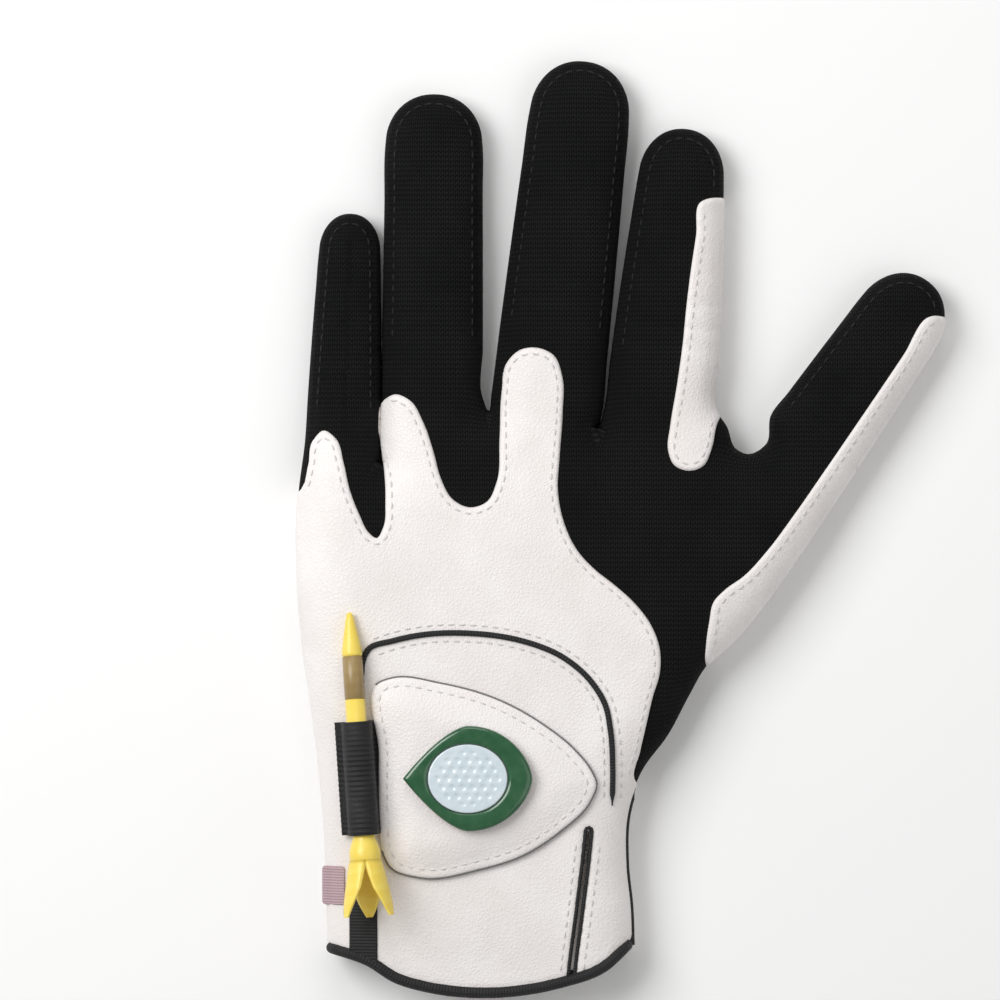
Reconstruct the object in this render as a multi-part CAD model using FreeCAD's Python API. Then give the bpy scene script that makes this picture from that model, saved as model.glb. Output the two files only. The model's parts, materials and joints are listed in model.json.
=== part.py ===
"""A left-hand golf glove, lying on its palm with its fingers towards +Y.

Origin: middle of the palm's underside. Z = 0 is the surface that the glove lies on. Millimetres.
The skins are hollow, so the hand, the fingers and the thumb are open spaces. Every finger is cut
at its middle knuckle, where the finger curls. The cut is a wedge on the palm side and a smaller one
on the back, which stand for the leather that folds there.
"""

import FreeCAD, Part

import os
from math import cos, radians, sin, tan

V = FreeCAD.Vector

# ---- skins ----
wall = 0.9  # leather, knit and lining together
hand_height = 16.0  # the empty glove's thickness over the palm
root_height = 12.2  # the hand's thickness where the fingers leave it
slope_start_y = 36.0  # the back begins to slope down to the fingers
slope_end_y = 64.0
edge_round = 3.4  # how far the skins' edges are turned in
hand_edge_round = 4.0
seam_rise = 3.4  # seam between the front leather and the side walls, above the floor
seam_drop = 3.2  # seam between the back and the side walls, below the top of a finger

# ---- fingers: base point, lean from +Y, length, half widths at the base and tip, height, knuckle ----
fingers = {
    "little": dict(x=-32.0, y=48.0, lean=2.0, length=64.1, base=8.9, tip=7.0, height=10.0, knuckle=26.0),
    "ring": dict(x=-11.1, y=60.0, lean=0.4, length=79.6, base=11.8, tip=11.2, height=11.5, knuckle=30.0),
    "middle": dict(x=14.6, y=62.0, lean=6.5, length=85.7, base=12.9, tip=11.2, height=11.5, knuckle=31.2),
    "index": dict(x=40.6, y=57.0, lean=5.2, length=74.9, base=13.0, tip=9.8, height=11.5, knuckle=30.1),
    "thumb": dict(x=58.7, y=33.3, lean=35.0, length=77.3, base=12.2, tip=10.3, height=12.5, knuckle=42.0),
}
root_reach = 20.0  # how far a finger's tube runs into the hand
thumb_knit_start = 13.0  # seam of the thumb's own back panel, along the thumb
curl = 80.0  # degrees towards the palm
fold_back = 30.0  # degrees towards the back
bend_margin = 2.0  # degrees of spare room on each side of the bend
bend_gap = 0.15  # half of the slit at the bend's axis
side_panel_in = 6.2  # the index finger's side panel starts this far right of the finger's centre line
side_panel_top = 114.0  # its upper and lower ends along Y
side_panel_bottom = 53.0

# ---- hand outline, round from the wrist's left side, and the hem ----
cuff_far_y = -80.0  # the hand's tube is made longer and then cut along the hem
hand_outline = [
    (-35.4, cuff_far_y), (34.5, cuff_far_y), (34.5, -54.0), (33.0, -35.0), (36.5, -17.0),
    (44.2, -8.0), (49.8, 4.0), (58.4, 13.0), (66.0, 25.0), (68.0, 38.0), (60.5, 55.5),
    (53.5, 62.0), (28.0, 63.5), (2.0, 66.0), (-22.6, 55.0), (-41.0, 50.0), (-41.9, 35.0),
    (-41.3, 14.0), (-38.0, -5.0), (-35.4, -28.0),
]
hem_line = [
    (-45.0, -56.0), (-35.4, -57.5), (-22.5, -62.5), (-2.3, -67.9),
    (18.4, -65.6), (34.5, -56.4), (45.0, -52.0),
]
cuff_binding_width = 2.0

# ---- outline of the white back panel, with a lobe on each of three fingers ----
back_panel_outline = [
    (-50.0, -90.0), (-50.0, 56.0), (-39.5, 60.0), (-38.6, 62.5), (-34.0, 61.0), (-30.7, 57.0), (-30.0, 50.0),
    (-27.5, 44.5), (-24.0, 37.0), (-21.0, 46.0), (-22.0, 58.0), (-23.5, 66.0), (-21.0, 70.5), (-16.0, 69.5),
    (-11.5, 62.0), (-9.0, 52.0), (-6.0, 46.0), (-2.3, 44.0), (1.0, 48.0), (4.0, 56.0), (4.5, 70.0),
    (5.5, 79.0), (12.0, 80.0), (18.6, 78.0), (18.8, 64.0),
    (17.6, 50.0), (20.0, 37.0), (23.0, 32.0), (29.3, 27.6),
    (34.5, 23.0), (39.5, 18.5), (41.4, 10.0), (39.8, 3.5), (38.4, -2.3), (36.9, -9.2), (35.6, -14.0),
    (60.0, -14.0), (60.0, -90.0),
]

# ---- wrist: slit, piping and elastic ----
slit_top = (24.8, -29.9)
slit_bottom = (21.2, -69.0)
slit_width = 1.2
slit_binding_width = 1.7
trim_height = 0.8
piping_width = 1.6
piping_line = [
    (-26.5, 11.5), (-20.0, 13.7), (-13.8, 15.0), (-2.0, 15.4), (9.2, 13.8), (18.6, 10.2),
    (25.3, 4.6), (28.8, -1.2), (29.9, -6.9), (30.2, -15.0), (29.9, -24.0),
]
elastic_length = 50.0
elastic_width = 8.0
elastic_thick = 0.6
elastic_y = -38.0

# ---- closure tab: a leaf-shaped flap that peels up about its left edge ----
tab_hinge_x = -20.2
tab_outline = [
    (tab_hinge_x, -39.8), (-13.8, -40.5), (0.0, -38.6), (9.2, -35.7), (18.4, -29.9), (25.3, -23.0),
    (26.9, -18.9), (25.8, -17.3), (21.9, -11.5), (14.9, -5.8), (4.6, 0.0), (-9.2, 4.0), (tab_hinge_x, 4.4),
]
tab_thick = 1.5
tab_root_width = 1.5
tab_root_gap = 0.3
tab_root_low_y = -29.0  # the sewn root stops short of the tee's collar
patch_thick = 0.9  # the hook patch, and the loop patch that it grips
grip_gap = 0.15  # between the two patches
patch_length = 24.0
patch_width = 26.0
patch_x = 10.0
patch_y = -18.0
loop_patch_extra = 3.0  # the loop patch is longer, so that the strap can be set tighter

# ---- ball marker, held on the tab by a magnet ----
marker_x = -2.8
marker_y = -17.7
marker_length = 29.7
marker_width = 24.2
marker_thick = 2.4
marker_seat = 0.15  # gap over the holder
marker_fit = 0.1  # side gap of the pieces set into the marker
face_length = 18.4
face_width = 15.9
face_thick = 1.2
magnet_radius = 5.0
magnet_thick = 0.8
holder_thick = 0.6
holder_margin = 2.0  # how far the holder stays inside the marker's edge

# ---- golf tee in its elastic loop ----
tee_tip = (-29.9, 20.2)
tee_length = 70.0
tee_turn = 3.8  # degrees from -Y towards +X
tee_rise = 4.5  # degrees, because its cup lies on the back
tee_radius = 2.3
tee_back_gap = 0.3  # between the back and the lowest of the shaft, where the shaft's full width begins
tee_point_length = 9.0
tee_band_start = 10.0  # from the point, a painted band
tee_band_length = 10.0
tee_band_thick = 0.2
tee_cup_radius = 6.2
tee_point_radius = 0.7
tee_cup_length = 13.0
tee_collar_length = 6.0
tee_collar_radius = 3.6
collar_cone = 2.0  # length over which the shaft widens to the collar
prong_thick = 1.4
prong_root = 1.0  # the prongs are joined together for this far above the collar
prong_width = 4.2
prong_count = 3
loop_clearance = 0.3
loop_length = 26.0
loop_width = 10.2
loop_thick = 0.9
loop_start = 25.0  # from the tee's point
tee_strip_size = (6.5, 10.5)
tee_strip_corner = (-30.0, -57.0)
tag_size = (6.0, 9.0)
tag_corner = (-37.0, -47.0)
tag_thick = 0.6
tag_low = 8.0
side_panel_reach = 20.0  # past the index finger's right edge
tab_clearance = 0.6  # the slit's binding stops this far from the tab
patch_inset = 1.0  # the patches stay this far inside the tab's edge
loop_foot_drop = 1.0  # the loop's straight feet end this far below the tee's axis
sliver_volume = 0.05  # smaller left-over solids are dropped

far = 200.0  # longer than anything here
underneath = -5.0  # a height below the whole glove
overhead = 30.0  # a height above the whole glove


def face_of(points, z=0.0):
    """A flat face bounded by straight runs between the points."""
    wire = Part.makePolygon([V(x, y, z) for x, y in points + points[:1]])
    return Part.Face(wire)


def prism(points, low, high):
    """An outline in the XY plane, raised from low to high."""
    return face_of(points, low).extrude(V(0, 0, high - low))


def inset(points, distance):
    """The outline with each straight run moved inwards by the distance. Points run anticlockwise."""
    moved = []
    for i, here in enumerate(points):
        before, after = points[i - 1], points[(i + 1) % len(points)]
        lines = []
        for a, b in ((before, here), (here, after)):
            along = V(b[0] - a[0], b[1] - a[1], 0).normalize()
            inward = V(-along.y, along.x, 0) * distance
            lines.append((V(a[0], a[1], 0) + inward, along))
        (p, u), (q, v) = lines
        step = ((q.x - p.x) * v.y - (q.y - p.y) * v.x) / (u.x * v.y - u.y * v.x)
        moved.append((p.x + u.x * step, p.y + u.y * step))
    return moved


def layered(outline_at, bottom, top, turn):
    """A body whose outline is turned in by turn at its bottom and top edges."""
    levels = [(bottom, turn), (bottom + turn, 0.0), (top - turn, 0.0), (top, turn)]
    return Part.makeLoft([outline_at(inwards, z) for z, inwards in levels], True, True)


def hand_block(skin):
    """The palm and wrist as one closed block, smaller by skin all round."""

    def outline_at(inwards, z):
        points = inset(hand_outline, skin + inwards)
        return Part.makePolygon([V(x, y, z) for x, y in points + points[:1]])

    block = layered(outline_at, skin, hand_height - skin, hand_edge_round)
    slope = Part.Face(
        Part.makePolygon(
            [
                V(-far, -far, -1),
                V(-far, far, -1),
                V(-far, far, root_height - skin),
                V(-far, slope_end_y, root_height - skin),
                V(-far, slope_start_y, hand_height - skin),
                V(-far, -far, hand_height - skin),
                V(-far, -far, -1),
            ]
        )
    ).extrude(V(2 * far, 0, 0))
    return block.common(slope)


def finger_place(f):
    """Local X runs across the finger, and local Y along it towards its tip."""
    return FreeCAD.Placement(V(f["x"], f["y"], 0), FreeCAD.Rotation(V(0, 0, 1), -f["lean"]))


def finger_block(f, skin):
    """A finger as one closed block in its own axes, smaller by skin all round."""

    def outline_at(inwards, z):
        less = skin + inwards
        base, tip, end = f["base"] - less, f["tip"] - less, f["length"] - less
        edges = [
            Part.LineSegment(V(-base, -root_reach, z), V(base, -root_reach, z)).toShape(),
            Part.LineSegment(V(base, -root_reach, z), V(tip, end - tip, z)).toShape(),
            Part.Arc(V(tip, end - tip, z), V(0, end, z), V(-tip, end - tip, z)).toShape(),
            Part.LineSegment(V(-tip, end - tip, z), V(-base, -root_reach, z)).toShape(),
        ]
        return Part.Wire(edges)

    return layered(outline_at, skin, f["height"] - skin, edge_round)


def bend_side(f, sign):
    """The room of the finger's part before its bend (sign -1) or after it (sign 1)."""
    middle = f["height"] / 2
    palm_angle = radians(curl / 2 + bend_margin)
    back_angle = radians(fold_back / 2 + bend_margin)
    below, above = middle - underneath, f["height"] - middle - underneath
    at = f["knuckle"] + sign * bend_gap
    points = [
        V(-far, at + sign * below * tan(palm_angle), middle - below),
        V(-far, at, middle),
        V(-far, at + sign * above * tan(back_angle), middle + above),
        V(-far, sign * far, middle + above),
        V(-far, sign * far, middle - below),
    ]
    return Part.Face(Part.makePolygon(points + points[:1])).extrude(V(2 * far, 0, 0))


def in_place(shape, f):
    """A shape in the finger's own axes, moved to the glove's."""
    moved = shape.copy()
    moved.Placement = finger_place(f).multiply(moved.Placement)
    return moved


def slab(low, high):
    """All the room between two heights."""
    return Part.makeBox(2 * far, 2 * far, high - low, V(-far, -far, low))


def ribbon(points, width):
    """The outline of a strip of even width along a line of points."""
    left, right = [], []
    for i, (x, y) in enumerate(points):
        before, after = points[max(i - 1, 0)], points[min(i + 1, len(points) - 1)]
        along = V(after[0] - before[0], after[1] - before[1], 0).normalize()
        left.append((x - along.y * width / 2, y + along.x * width / 2))
        right.append((x + along.y * width / 2, y - along.x * width / 2))
    return left + right[::-1]


def shifted(points, dx, dy):
    return [(x + dx, y + dy) for x, y in points]


def rectangle(x0, y0, x1, y1):
    return [(x0, y0), (x1, y0), (x1, y1), (x0, y1)]


def mended(shape):
    """The solids of a shape, without slivers."""
    solids = [s for s in shape.Solids if s.Volume > sliver_volume]
    return solids[0] if len(solids) == 1 else Part.makeCompound(solids)


nodes = {}


def keep(name, shape):
    nodes[name] = mended(shape)


# ---- the fixed skin: hand, finger roots and thumb root ----
def roots(skin):
    """The hand with the root of every finger."""
    body = hand_block(skin)
    tubes = [in_place(finger_block(f, skin).common(bend_side(f, -1)), f) for f in fingers.values()]
    return body.fuse(tubes)


beyond_hem = prism(hem_line + [(far, -far), (-far, -far)], underneath, overhead)
inside_room = roots(wall)
fixed_skin = roots(0.0).cut(inside_room).cut(beyond_hem)

band_outline = shifted(hem_line, 0, cuff_binding_width) + [(far, -far), (-far, -far)]
binding_band = prism(band_outline, underneath, overhead)
keep("cuff_binding", fixed_skin.common(binding_band))
fixed_skin = fixed_skin.cut(binding_band)

palm_room = slab(underneath, seam_rise)
keep("palm_panel", fixed_skin.common(palm_room))

white_room = prism(back_panel_outline, underneath, overhead)
upper_skin = fixed_skin.cut(palm_room)
back_panel = upper_skin.common(white_room)
dark_skin = upper_skin.cut(white_room)

# where one finger's dark back and side walls end and the next begins
little_right = -22.65
ring_right = 2.6
middle_right = 27.85


def column(x0, x1):
    return prism(rectangle(x0, -far, x1, far), underneath, overhead)


little_dark = dark_skin.common(column(-far, little_right))
ring_dark = dark_skin.common(column(little_right, ring_right))
middle_dark = dark_skin.common(column(ring_right, middle_right))
web_dark = dark_skin.common(column(middle_right, far))

# the side walls between the fingers are fourchettes, sewn between the front and the back
fork_top = fingers["little"]["height"] - seam_drop
fork_rooms = {
    "fourchette_little_ring": rectangle(-32.0, 40.0, -13.0, 120.0),
    "fourchette_ring_middle": rectangle(-9.0, 46.0, 12.0, 120.0),
    "fourchette_middle_index": rectangle(20.0, 46.0, 38.0, 120.0),
}
forks = {name: prism(outline, seam_rise, fork_top) for name, outline in fork_rooms.items()}
every_fork = Part.makeCompound(list(forks.values()))
for name, room in forks.items():
    keep(name, upper_skin.common(room))
little_dark, ring_dark, middle_dark, web_dark, back_panel = [
    piece.cut(every_fork) for piece in (little_dark, ring_dark, middle_dark, web_dark, back_panel)
]
keep("little_back_lower", little_dark)
keep("ring_back_lower", ring_dark)
keep("middle_back_lower", middle_dark)

index = fingers["index"]
side_outline = rectangle(
    side_panel_in, side_panel_bottom - index["y"], side_panel_reach, side_panel_top - index["y"]
)
index_side_room = in_place(prism(side_outline, seam_rise, overhead), index)
thumb = fingers["thumb"]
thumb_outline = rectangle(-thumb["base"], thumb_knit_start, thumb["base"], far)
thumb_room = in_place(prism(thumb_outline, underneath, overhead), thumb)
keep("index_side_lower", web_dark.common(index_side_room))
keep("thumb_back_lower", web_dark.common(thumb_room).cut(index_side_room))
keep("back_knit", web_dark.cut(index_side_room).cut(thumb_room))

# ---- wrist slit, with its binding, piping and inside elastic ----
slit = prism(ribbon([slit_bottom, slit_top], slit_width), hand_height - 3 * wall, hand_height + 3 * wall)
back_panel = back_panel.cut(slit)
keep("back_panel", back_panel)
slit_edge = ribbon([slit_bottom, slit_top], slit_width + 2 * slit_binding_width)
binding = prism(slit_edge, hand_height, hand_height + trim_height).cut(slit).cut(beyond_hem)
tab_shadow = prism(inset(tab_outline, -tab_clearance), hand_height, overhead)
keep("slit_binding", binding.cut(tab_shadow))
piping = prism(ribbon(piping_line, piping_width), hand_height, hand_height + trim_height)
keep("back_piping", piping)
keep(
    "wrist_elastic",
    Part.makeBox(elastic_length, elastic_width, elastic_thick, V(-elastic_length / 2, elastic_y, wall)),
)

# ---- the moving part of each finger ----
for name, f in fingers.items():
    tube = finger_block(f, 0.0).cut(finger_block(f, wall)).common(bend_side(f, 1))
    front = tube.common(slab(underneath, seam_rise))
    back = tube.common(slab(f["height"] - seam_drop, overhead))
    sides = tube.common(slab(seam_rise, f["height"] - seam_drop))
    if name == "index":
        room = prism(side_outline, seam_rise, overhead)
        keep("index_side_upper", in_place(tube.common(room), f))
        back, sides = back.cut(room), sides.cut(room)
    keep(f"{name}_front", in_place(front, f))
    keep(f"{name}_back", in_place(back, f))
    keep(f"{name}_sides", in_place(sides, f))

# ---- closure tab with its hook patch, over the loop patch on the back ----
loop_room = rectangle(
    patch_x - patch_length / 2 - loop_patch_extra,
    patch_y - patch_width / 2,
    patch_x + patch_length / 2,
    patch_y + patch_width / 2,
)
leaf = inset(tab_outline, patch_inset)
loop_patch = prism(loop_room, hand_height, hand_height + patch_thick).common(prism(leaf, 0, overhead))
keep("loop_patch", loop_patch.cut(slit))
hook_low = hand_height + patch_thick + grip_gap
hook_room = rectangle(
    patch_x - patch_length / 2,
    patch_y - patch_width / 2,
    patch_x + patch_length / 2,
    patch_y + patch_width / 2,
)
keep("hook_patch", prism(hook_room, hook_low, hook_low + patch_thick).common(prism(leaf, 0, overhead)))
tab_low = hook_low + patch_thick
tab_top = tab_low + tab_thick
keep("closure_tab", prism(tab_outline, tab_low, tab_top))
root_right = tab_hinge_x - tab_root_gap
keep(
    "tab_root",
    prism(
        rectangle(root_right - tab_root_width, tab_root_low_y, root_right, tab_outline[-1][1]),
        hand_height,
        tab_top,
    ),
)


# ---- ball marker ----
def lemon(length, width, low, high):
    """A lens-shaped plate: two arcs that meet in a point at each end, with the points cut off."""
    half, rise = length / 2, width / 2
    cx, cy = marker_x, marker_y
    edges = [
        Part.Arc(V(cx - half, cy, low), V(cx, cy + rise, low), V(cx + half, cy, low)).toShape(),
        Part.Arc(V(cx + half, cy, low), V(cx, cy - rise, low), V(cx - half, cy, low)).toShape(),
    ]
    return Part.Face(Part.Wire(edges)).extrude(V(0, 0, high - low))


def oval(length, width, low, high):
    ellipse = Part.Ellipse(V(marker_x, marker_y, low), length / 2, width / 2)
    return Part.Face(Part.Wire([ellipse.toShape()])).extrude(V(0, 0, high - low))


holder_top = tab_top + holder_thick
holder_length = marker_length - 2 * holder_margin
holder_width = marker_width - 2 * holder_margin
keep("marker_holder", lemon(holder_length, holder_width, tab_top, holder_top))
marker_low = holder_top + marker_seat
marker_top = marker_low + marker_thick
rim = lemon(marker_length, marker_width, marker_low, marker_top)
face_low = marker_top - face_thick
rim = rim.cut(oval(face_length + 2 * marker_fit, face_width + 2 * marker_fit, face_low, overhead))
magnet_seat = Part.makeCylinder(magnet_radius + marker_fit, magnet_thick, V(marker_x, marker_y, marker_low))
keep("marker_rim", rim.cut(magnet_seat))
keep("marker_face", oval(face_length, face_width, face_low, marker_top))
keep("marker_magnet", Part.makeCylinder(magnet_radius, magnet_thick, V(marker_x, marker_y, marker_low)))


# ---- golf tee, along its own axis from the point to the cup ----
def tee_place():
    """Local Z runs from the tee's point to its cup."""
    turn, rise = radians(tee_turn), radians(tee_rise)
    along = V(sin(turn) * cos(rise), -cos(turn) * cos(rise), sin(rise))
    tip_height = hand_height + tee_radius + tee_back_gap - tee_point_length * sin(rise)
    return FreeCAD.Placement(V(*tee_tip, tip_height), FreeCAD.Rotation(V(0, 0, 1), along))


def turned(profile):
    """A body of revolution about local Z from (radius, height) points."""
    wire = Part.makePolygon([V(r, 0, z) for r, z in profile + profile[:1]])
    return Part.Face(wire).revolve(V(0, 0, 0), V(0, 0, 1), 360)


def at_tee(shape):
    moved = shape.copy()
    moved.Placement = tee_place().multiply(moved.Placement)
    return moved


cup_start = tee_length - tee_cup_length
collar_start = cup_start - tee_collar_length
band_end = tee_band_start + tee_band_length
core = tee_radius - tee_band_thick
band = turned(
    [
        (core, tee_band_start),
        (tee_radius, tee_band_start),
        (tee_radius, band_end),
        (core, band_end),
    ]
)
stem = turned(
    [
        (0, 0),
        (tee_point_radius, 0),
        (tee_radius, tee_point_length),
        (tee_radius, tee_band_start),
        (core, tee_band_start),
        (core, band_end),
        (tee_radius, band_end),
        (tee_radius, collar_start),
        (tee_collar_radius, collar_start + collar_cone),
        (tee_collar_radius, cup_start),
        (0, cup_start),
    ]
)
prongs = turned(
    [
        (tee_collar_radius - prong_thick, cup_start),
        (tee_collar_radius, cup_start),
        (tee_cup_radius, tee_length),
        (tee_cup_radius - prong_thick, tee_length),
    ]
)
window_corner = V(0, -prong_width / 2, cup_start + prong_root)
windows = [Part.makeBox(far, prong_width, far, window_corner) for _ in range(prong_count)]
for i, window in enumerate(windows):
    window.rotate(V(0, 0, 0), V(0, 0, 1), 360.0 / prong_count * (i + 0.5))
keep("golf_tee", at_tee(stem.fuse(prongs.cut(windows))))
keep("tee_band", at_tee(band))

# the elastic loop: an arch over the stem, its feet sewn to the back
bore = at_tee(Part.makeCylinder(tee_radius + loop_clearance, 2 * far, V(0, 0, -far)))
skin = at_tee(Part.makeCylinder(tee_radius + loop_clearance + loop_thick, loop_length, V(0, 0, loop_start)))
middle_of_loop = tee_place().multVec(V(0, 0, loop_start + loop_length / 2))
feet = Part.makeBox(
    loop_width,
    loop_length,
    middle_of_loop.z - hand_height - loop_foot_drop,
    V(middle_of_loop.x - loop_width / 2, middle_of_loop.y - loop_length / 2, hand_height),
)
keep("tee_loop", skin.fuse(feet).cut(bore).cut(slab(-far, hand_height)))

x0, y0 = tee_strip_corner
strip_outline = rectangle(x0, y0, x0 + tee_strip_size[0], y0 + tee_strip_size[1])
keep("tee_strip", prism(strip_outline, hand_height, hand_height + trim_height))
x0, y0 = tag_corner
tag_room = prism(rectangle(x0, y0, x0 + tag_size[0], y0 + tag_size[1]), tag_low, overhead)
keep("side_tag", hand_block(-tag_thick).cut(hand_block(0.0)).common(tag_room))

os.makedirs("parts", exist_ok=True)
for name, shape in nodes.items():
    shape.exportStep(f"parts/{name}.step")
    print(f"{name:26s} solids {len(shape.Solids)} volume {shape.Volume:9.1f} valid {shape.isValid()}")
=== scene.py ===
"""Looks of a left-hand golf glove: leather back and palm, knit fingers, closure tab, ball marker and tee.

Lengths inside the script are millimetres and become metres when a mesh is made.
"""

import json
import math

import bpy
import numpy as np
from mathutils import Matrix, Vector, noise
from mathutils.bvhtree import BVHTree
from mathutils.geometry import delaunay_2d_cdt, tessellate_polygon
from mathutils.kdtree import KDTree


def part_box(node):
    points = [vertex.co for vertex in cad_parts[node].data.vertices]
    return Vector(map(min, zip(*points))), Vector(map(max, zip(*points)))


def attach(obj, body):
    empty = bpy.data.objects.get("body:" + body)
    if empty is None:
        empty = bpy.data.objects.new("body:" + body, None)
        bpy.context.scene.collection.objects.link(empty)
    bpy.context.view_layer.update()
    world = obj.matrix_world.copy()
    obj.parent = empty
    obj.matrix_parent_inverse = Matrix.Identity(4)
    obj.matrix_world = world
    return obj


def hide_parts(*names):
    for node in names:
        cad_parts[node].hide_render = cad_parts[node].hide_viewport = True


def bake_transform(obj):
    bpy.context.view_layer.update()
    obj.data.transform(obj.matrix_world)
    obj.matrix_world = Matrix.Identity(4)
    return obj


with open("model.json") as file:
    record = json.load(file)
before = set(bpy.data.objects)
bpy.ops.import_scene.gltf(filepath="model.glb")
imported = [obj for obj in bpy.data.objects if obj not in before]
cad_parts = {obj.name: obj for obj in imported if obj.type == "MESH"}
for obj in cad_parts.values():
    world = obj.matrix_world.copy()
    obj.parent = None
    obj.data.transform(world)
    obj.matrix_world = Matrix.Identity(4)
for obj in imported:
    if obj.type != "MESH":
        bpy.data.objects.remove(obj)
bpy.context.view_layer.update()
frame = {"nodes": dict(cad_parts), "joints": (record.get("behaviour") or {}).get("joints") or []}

MM = 0.001
FAR = 400.0
HAND = "hand"
joint_of = {joint["name"]: joint for joint in frame["joints"]}

# ---- the glove's own sizes ----
LEATHER = 0.7  # thickness of a leather panel, which lies over the knit
KNIT = 0.6
FORK = 1.7  # a fourchette's edge, measured in from the finger's outline
MESH_STEP = 1.25
PUFF = 2.2  # 2 is an elliptical edge; more is squarer
FLOOR_GAP = 0.08  # the underside's height over the floor
BEND_HALF = 9.5  # half of the stretch over which a finger bends
FINGER_BEGIN = 2.0  # where the hand's shape begins to turn into a finger's, and over what length
THUMB_BEGIN = 12.0
FINGER_RISE = 18.0
HAND_EDGE = 13.0  # width of the hand's rounded edge
SEAM_SHARE = 0.42  # the side seam's height, as a share of the thickness
CUT_EDGE = 1.1  # stretch over which a laid-on panel rises from its cut edge
CROTCH_REACH = 16.0  # how far a fourchette runs from its crotch
THUMB_ROOT_START = 13.0  # the thumb's root: along the thumb, to each side of it and up the glove
THUMB_ROOT_HALF = 15.0
THUMB_ROOT_TOP = 62.0
ROW_SHARE = 0.866  # height of a triangle with equal sides
LINE_BREAK = 3.0  # a longer gap between points parts one row of stitches from the next
SIDE_ROWS = (0.14, 0.5, 1.05, 2.6, 3.8)  # rows of mesh points inside the glove's outline
EDGE_ROWS = (0.22, 0.6, 1.1)  # and inside a panel's edge
SIDE_CLEAR = 4.3  # the even grid of points keeps this far from the outline, and from an edge
EDGE_CLEAR = 0.75
# creases across a finger: distance past its knuckle, depth
BACK_CREASES = ((-5.2, 0.26), (-0.6, 0.42), (3.9, 0.30), (22.0, 0.26), (25.0, 0.20))
PALM_CREASES = ((0.0, 0.45), (23.0, 0.35))
PANEL_STITCH = 1.5  # rows of stitches, measured from the edge, cord, slit or seam beside them
PIPING_STITCH = 1.9
SLIT_STITCH = 2.6
PALM_STITCH = 1.3
FINGER_STITCH = 0.75

# length past the palm's crease, half widths at root and tip, length of the rounded tip, thickness, knuckle;
# start and end are the places along the finger where its left and right outline begin
FINGERS = {
    "little": dict(length=64.1, root=8.9, tip=7.1, nail=9.0, height=10.0, knuckle=26.0, start=12.0, end=11.0),
    "ring": dict(length=79.6, root=11.7, tip=11.2, nail=11.6, height=11.5, knuckle=30.0, start=-1.5, end=9.5),
    "middle": dict(length=85.7, root=12.9, tip=11.5, nail=12.4, height=11.5, knuckle=31.2, start=7.5, end=4.5),
    "index": dict(length=74.9, root=13.0, tip=9.9, nail=11.5, height=11.5, knuckle=30.1, start=8.5, end=11.0),
    "thumb": dict(length=77.3, root=12.2, tip=10.3, nail=12.0, height=12.5, knuckle=42.0, start=31.0, end=8.0),
}
for name, f in FINGERS.items():
    joint = joint_of[f"{name}_curl"]
    across = -np.array(joint["axis"][:2])
    f["along"] = np.array([-across[1], across[0]])
    f["across"] = across
    f["joint_z"] = joint["pos_m"][2] / MM
    f["base"] = np.array(joint["pos_m"][:2]) / MM - f["along"] * f["knuckle"]


# ---- curves in the plane ----
def even(line, step, closed=False):
    """The same line with evenly spaced points."""
    if closed:
        line = np.vstack([line, line[:1]])
    run = np.concatenate([[0], np.cumsum(np.linalg.norm(np.diff(line, axis=0), axis=1))])
    count = max(int(round(run[-1] / step)), 2)
    at = np.linspace(0, run[-1], count + 1)
    points = np.stack([np.interp(at, run, line[:, k]) for k in range(line.shape[1])], axis=1)
    return points[:-1] if closed else points


def smooth(points, step=0.9, closed=False):
    """A soft curve through the points."""
    p = np.array(points, float)
    if closed:
        p = np.vstack([p[-2:], p, p[:3]])
    gap = np.linalg.norm(np.diff(p, axis=0), axis=1)
    slope = np.diff(p, axis=0) / gap[:, None]
    inner = (slope[:-1] * gap[1:, None] + slope[1:] * gap[:-1, None]) / (gap[:-1] + gap[1:])[:, None]
    tangent = np.vstack([slope[:1], inner, slope[-1:]])
    t = np.linspace(0, 1, 14, endpoint=False)[:, None]
    spans = range(2, len(p) - 3) if closed else range(len(p) - 1)
    out = []
    for i in spans:
        h = gap[i]
        out.append(
            p[i] * (2 * t**3 - 3 * t**2 + 1) + p[i + 1] * (3 * t**2 - 2 * t**3)
            + tangent[i] * h * (t**3 - 2 * t**2 + t) + tangent[i + 1] * h * (t**3 - t**2)
        )
    if not closed:
        out.append(p[-1:])
    return even(np.vstack(out), step, closed)


def side_normals(line):
    """Unit normals to the left of a line's direction."""
    along = np.gradient(line, axis=0)
    along /= np.maximum(np.linalg.norm(along, axis=1), 1e-9)[:, None]
    return np.stack([-along[:, 1], along[:, 0]], axis=1)


def closed_line(loop):
    return np.vstack([loop, loop[:1]])


def inward_normals(loop):
    """Unit normals of a closed loop towards its inside, whichever way it runs."""
    x, y = loop.T
    area = 0.5 * np.sum(x * np.roll(y, -1) - np.roll(x, -1) * y)
    return side_normals(closed_line(loop))[:-1] * math.copysign(1.0, area)


def smoothstep(t):
    t = np.clip(t, 0, 1)
    return t * t * (3 - 2 * t)


def profile(pairs):
    """A smooth function of one number through (input, output) pairs."""
    line = smooth(pairs, 0.5)
    order = np.argsort(line[:, 0])
    return lambda x: np.interp(x, line[order, 0], line[order, 1])


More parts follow.
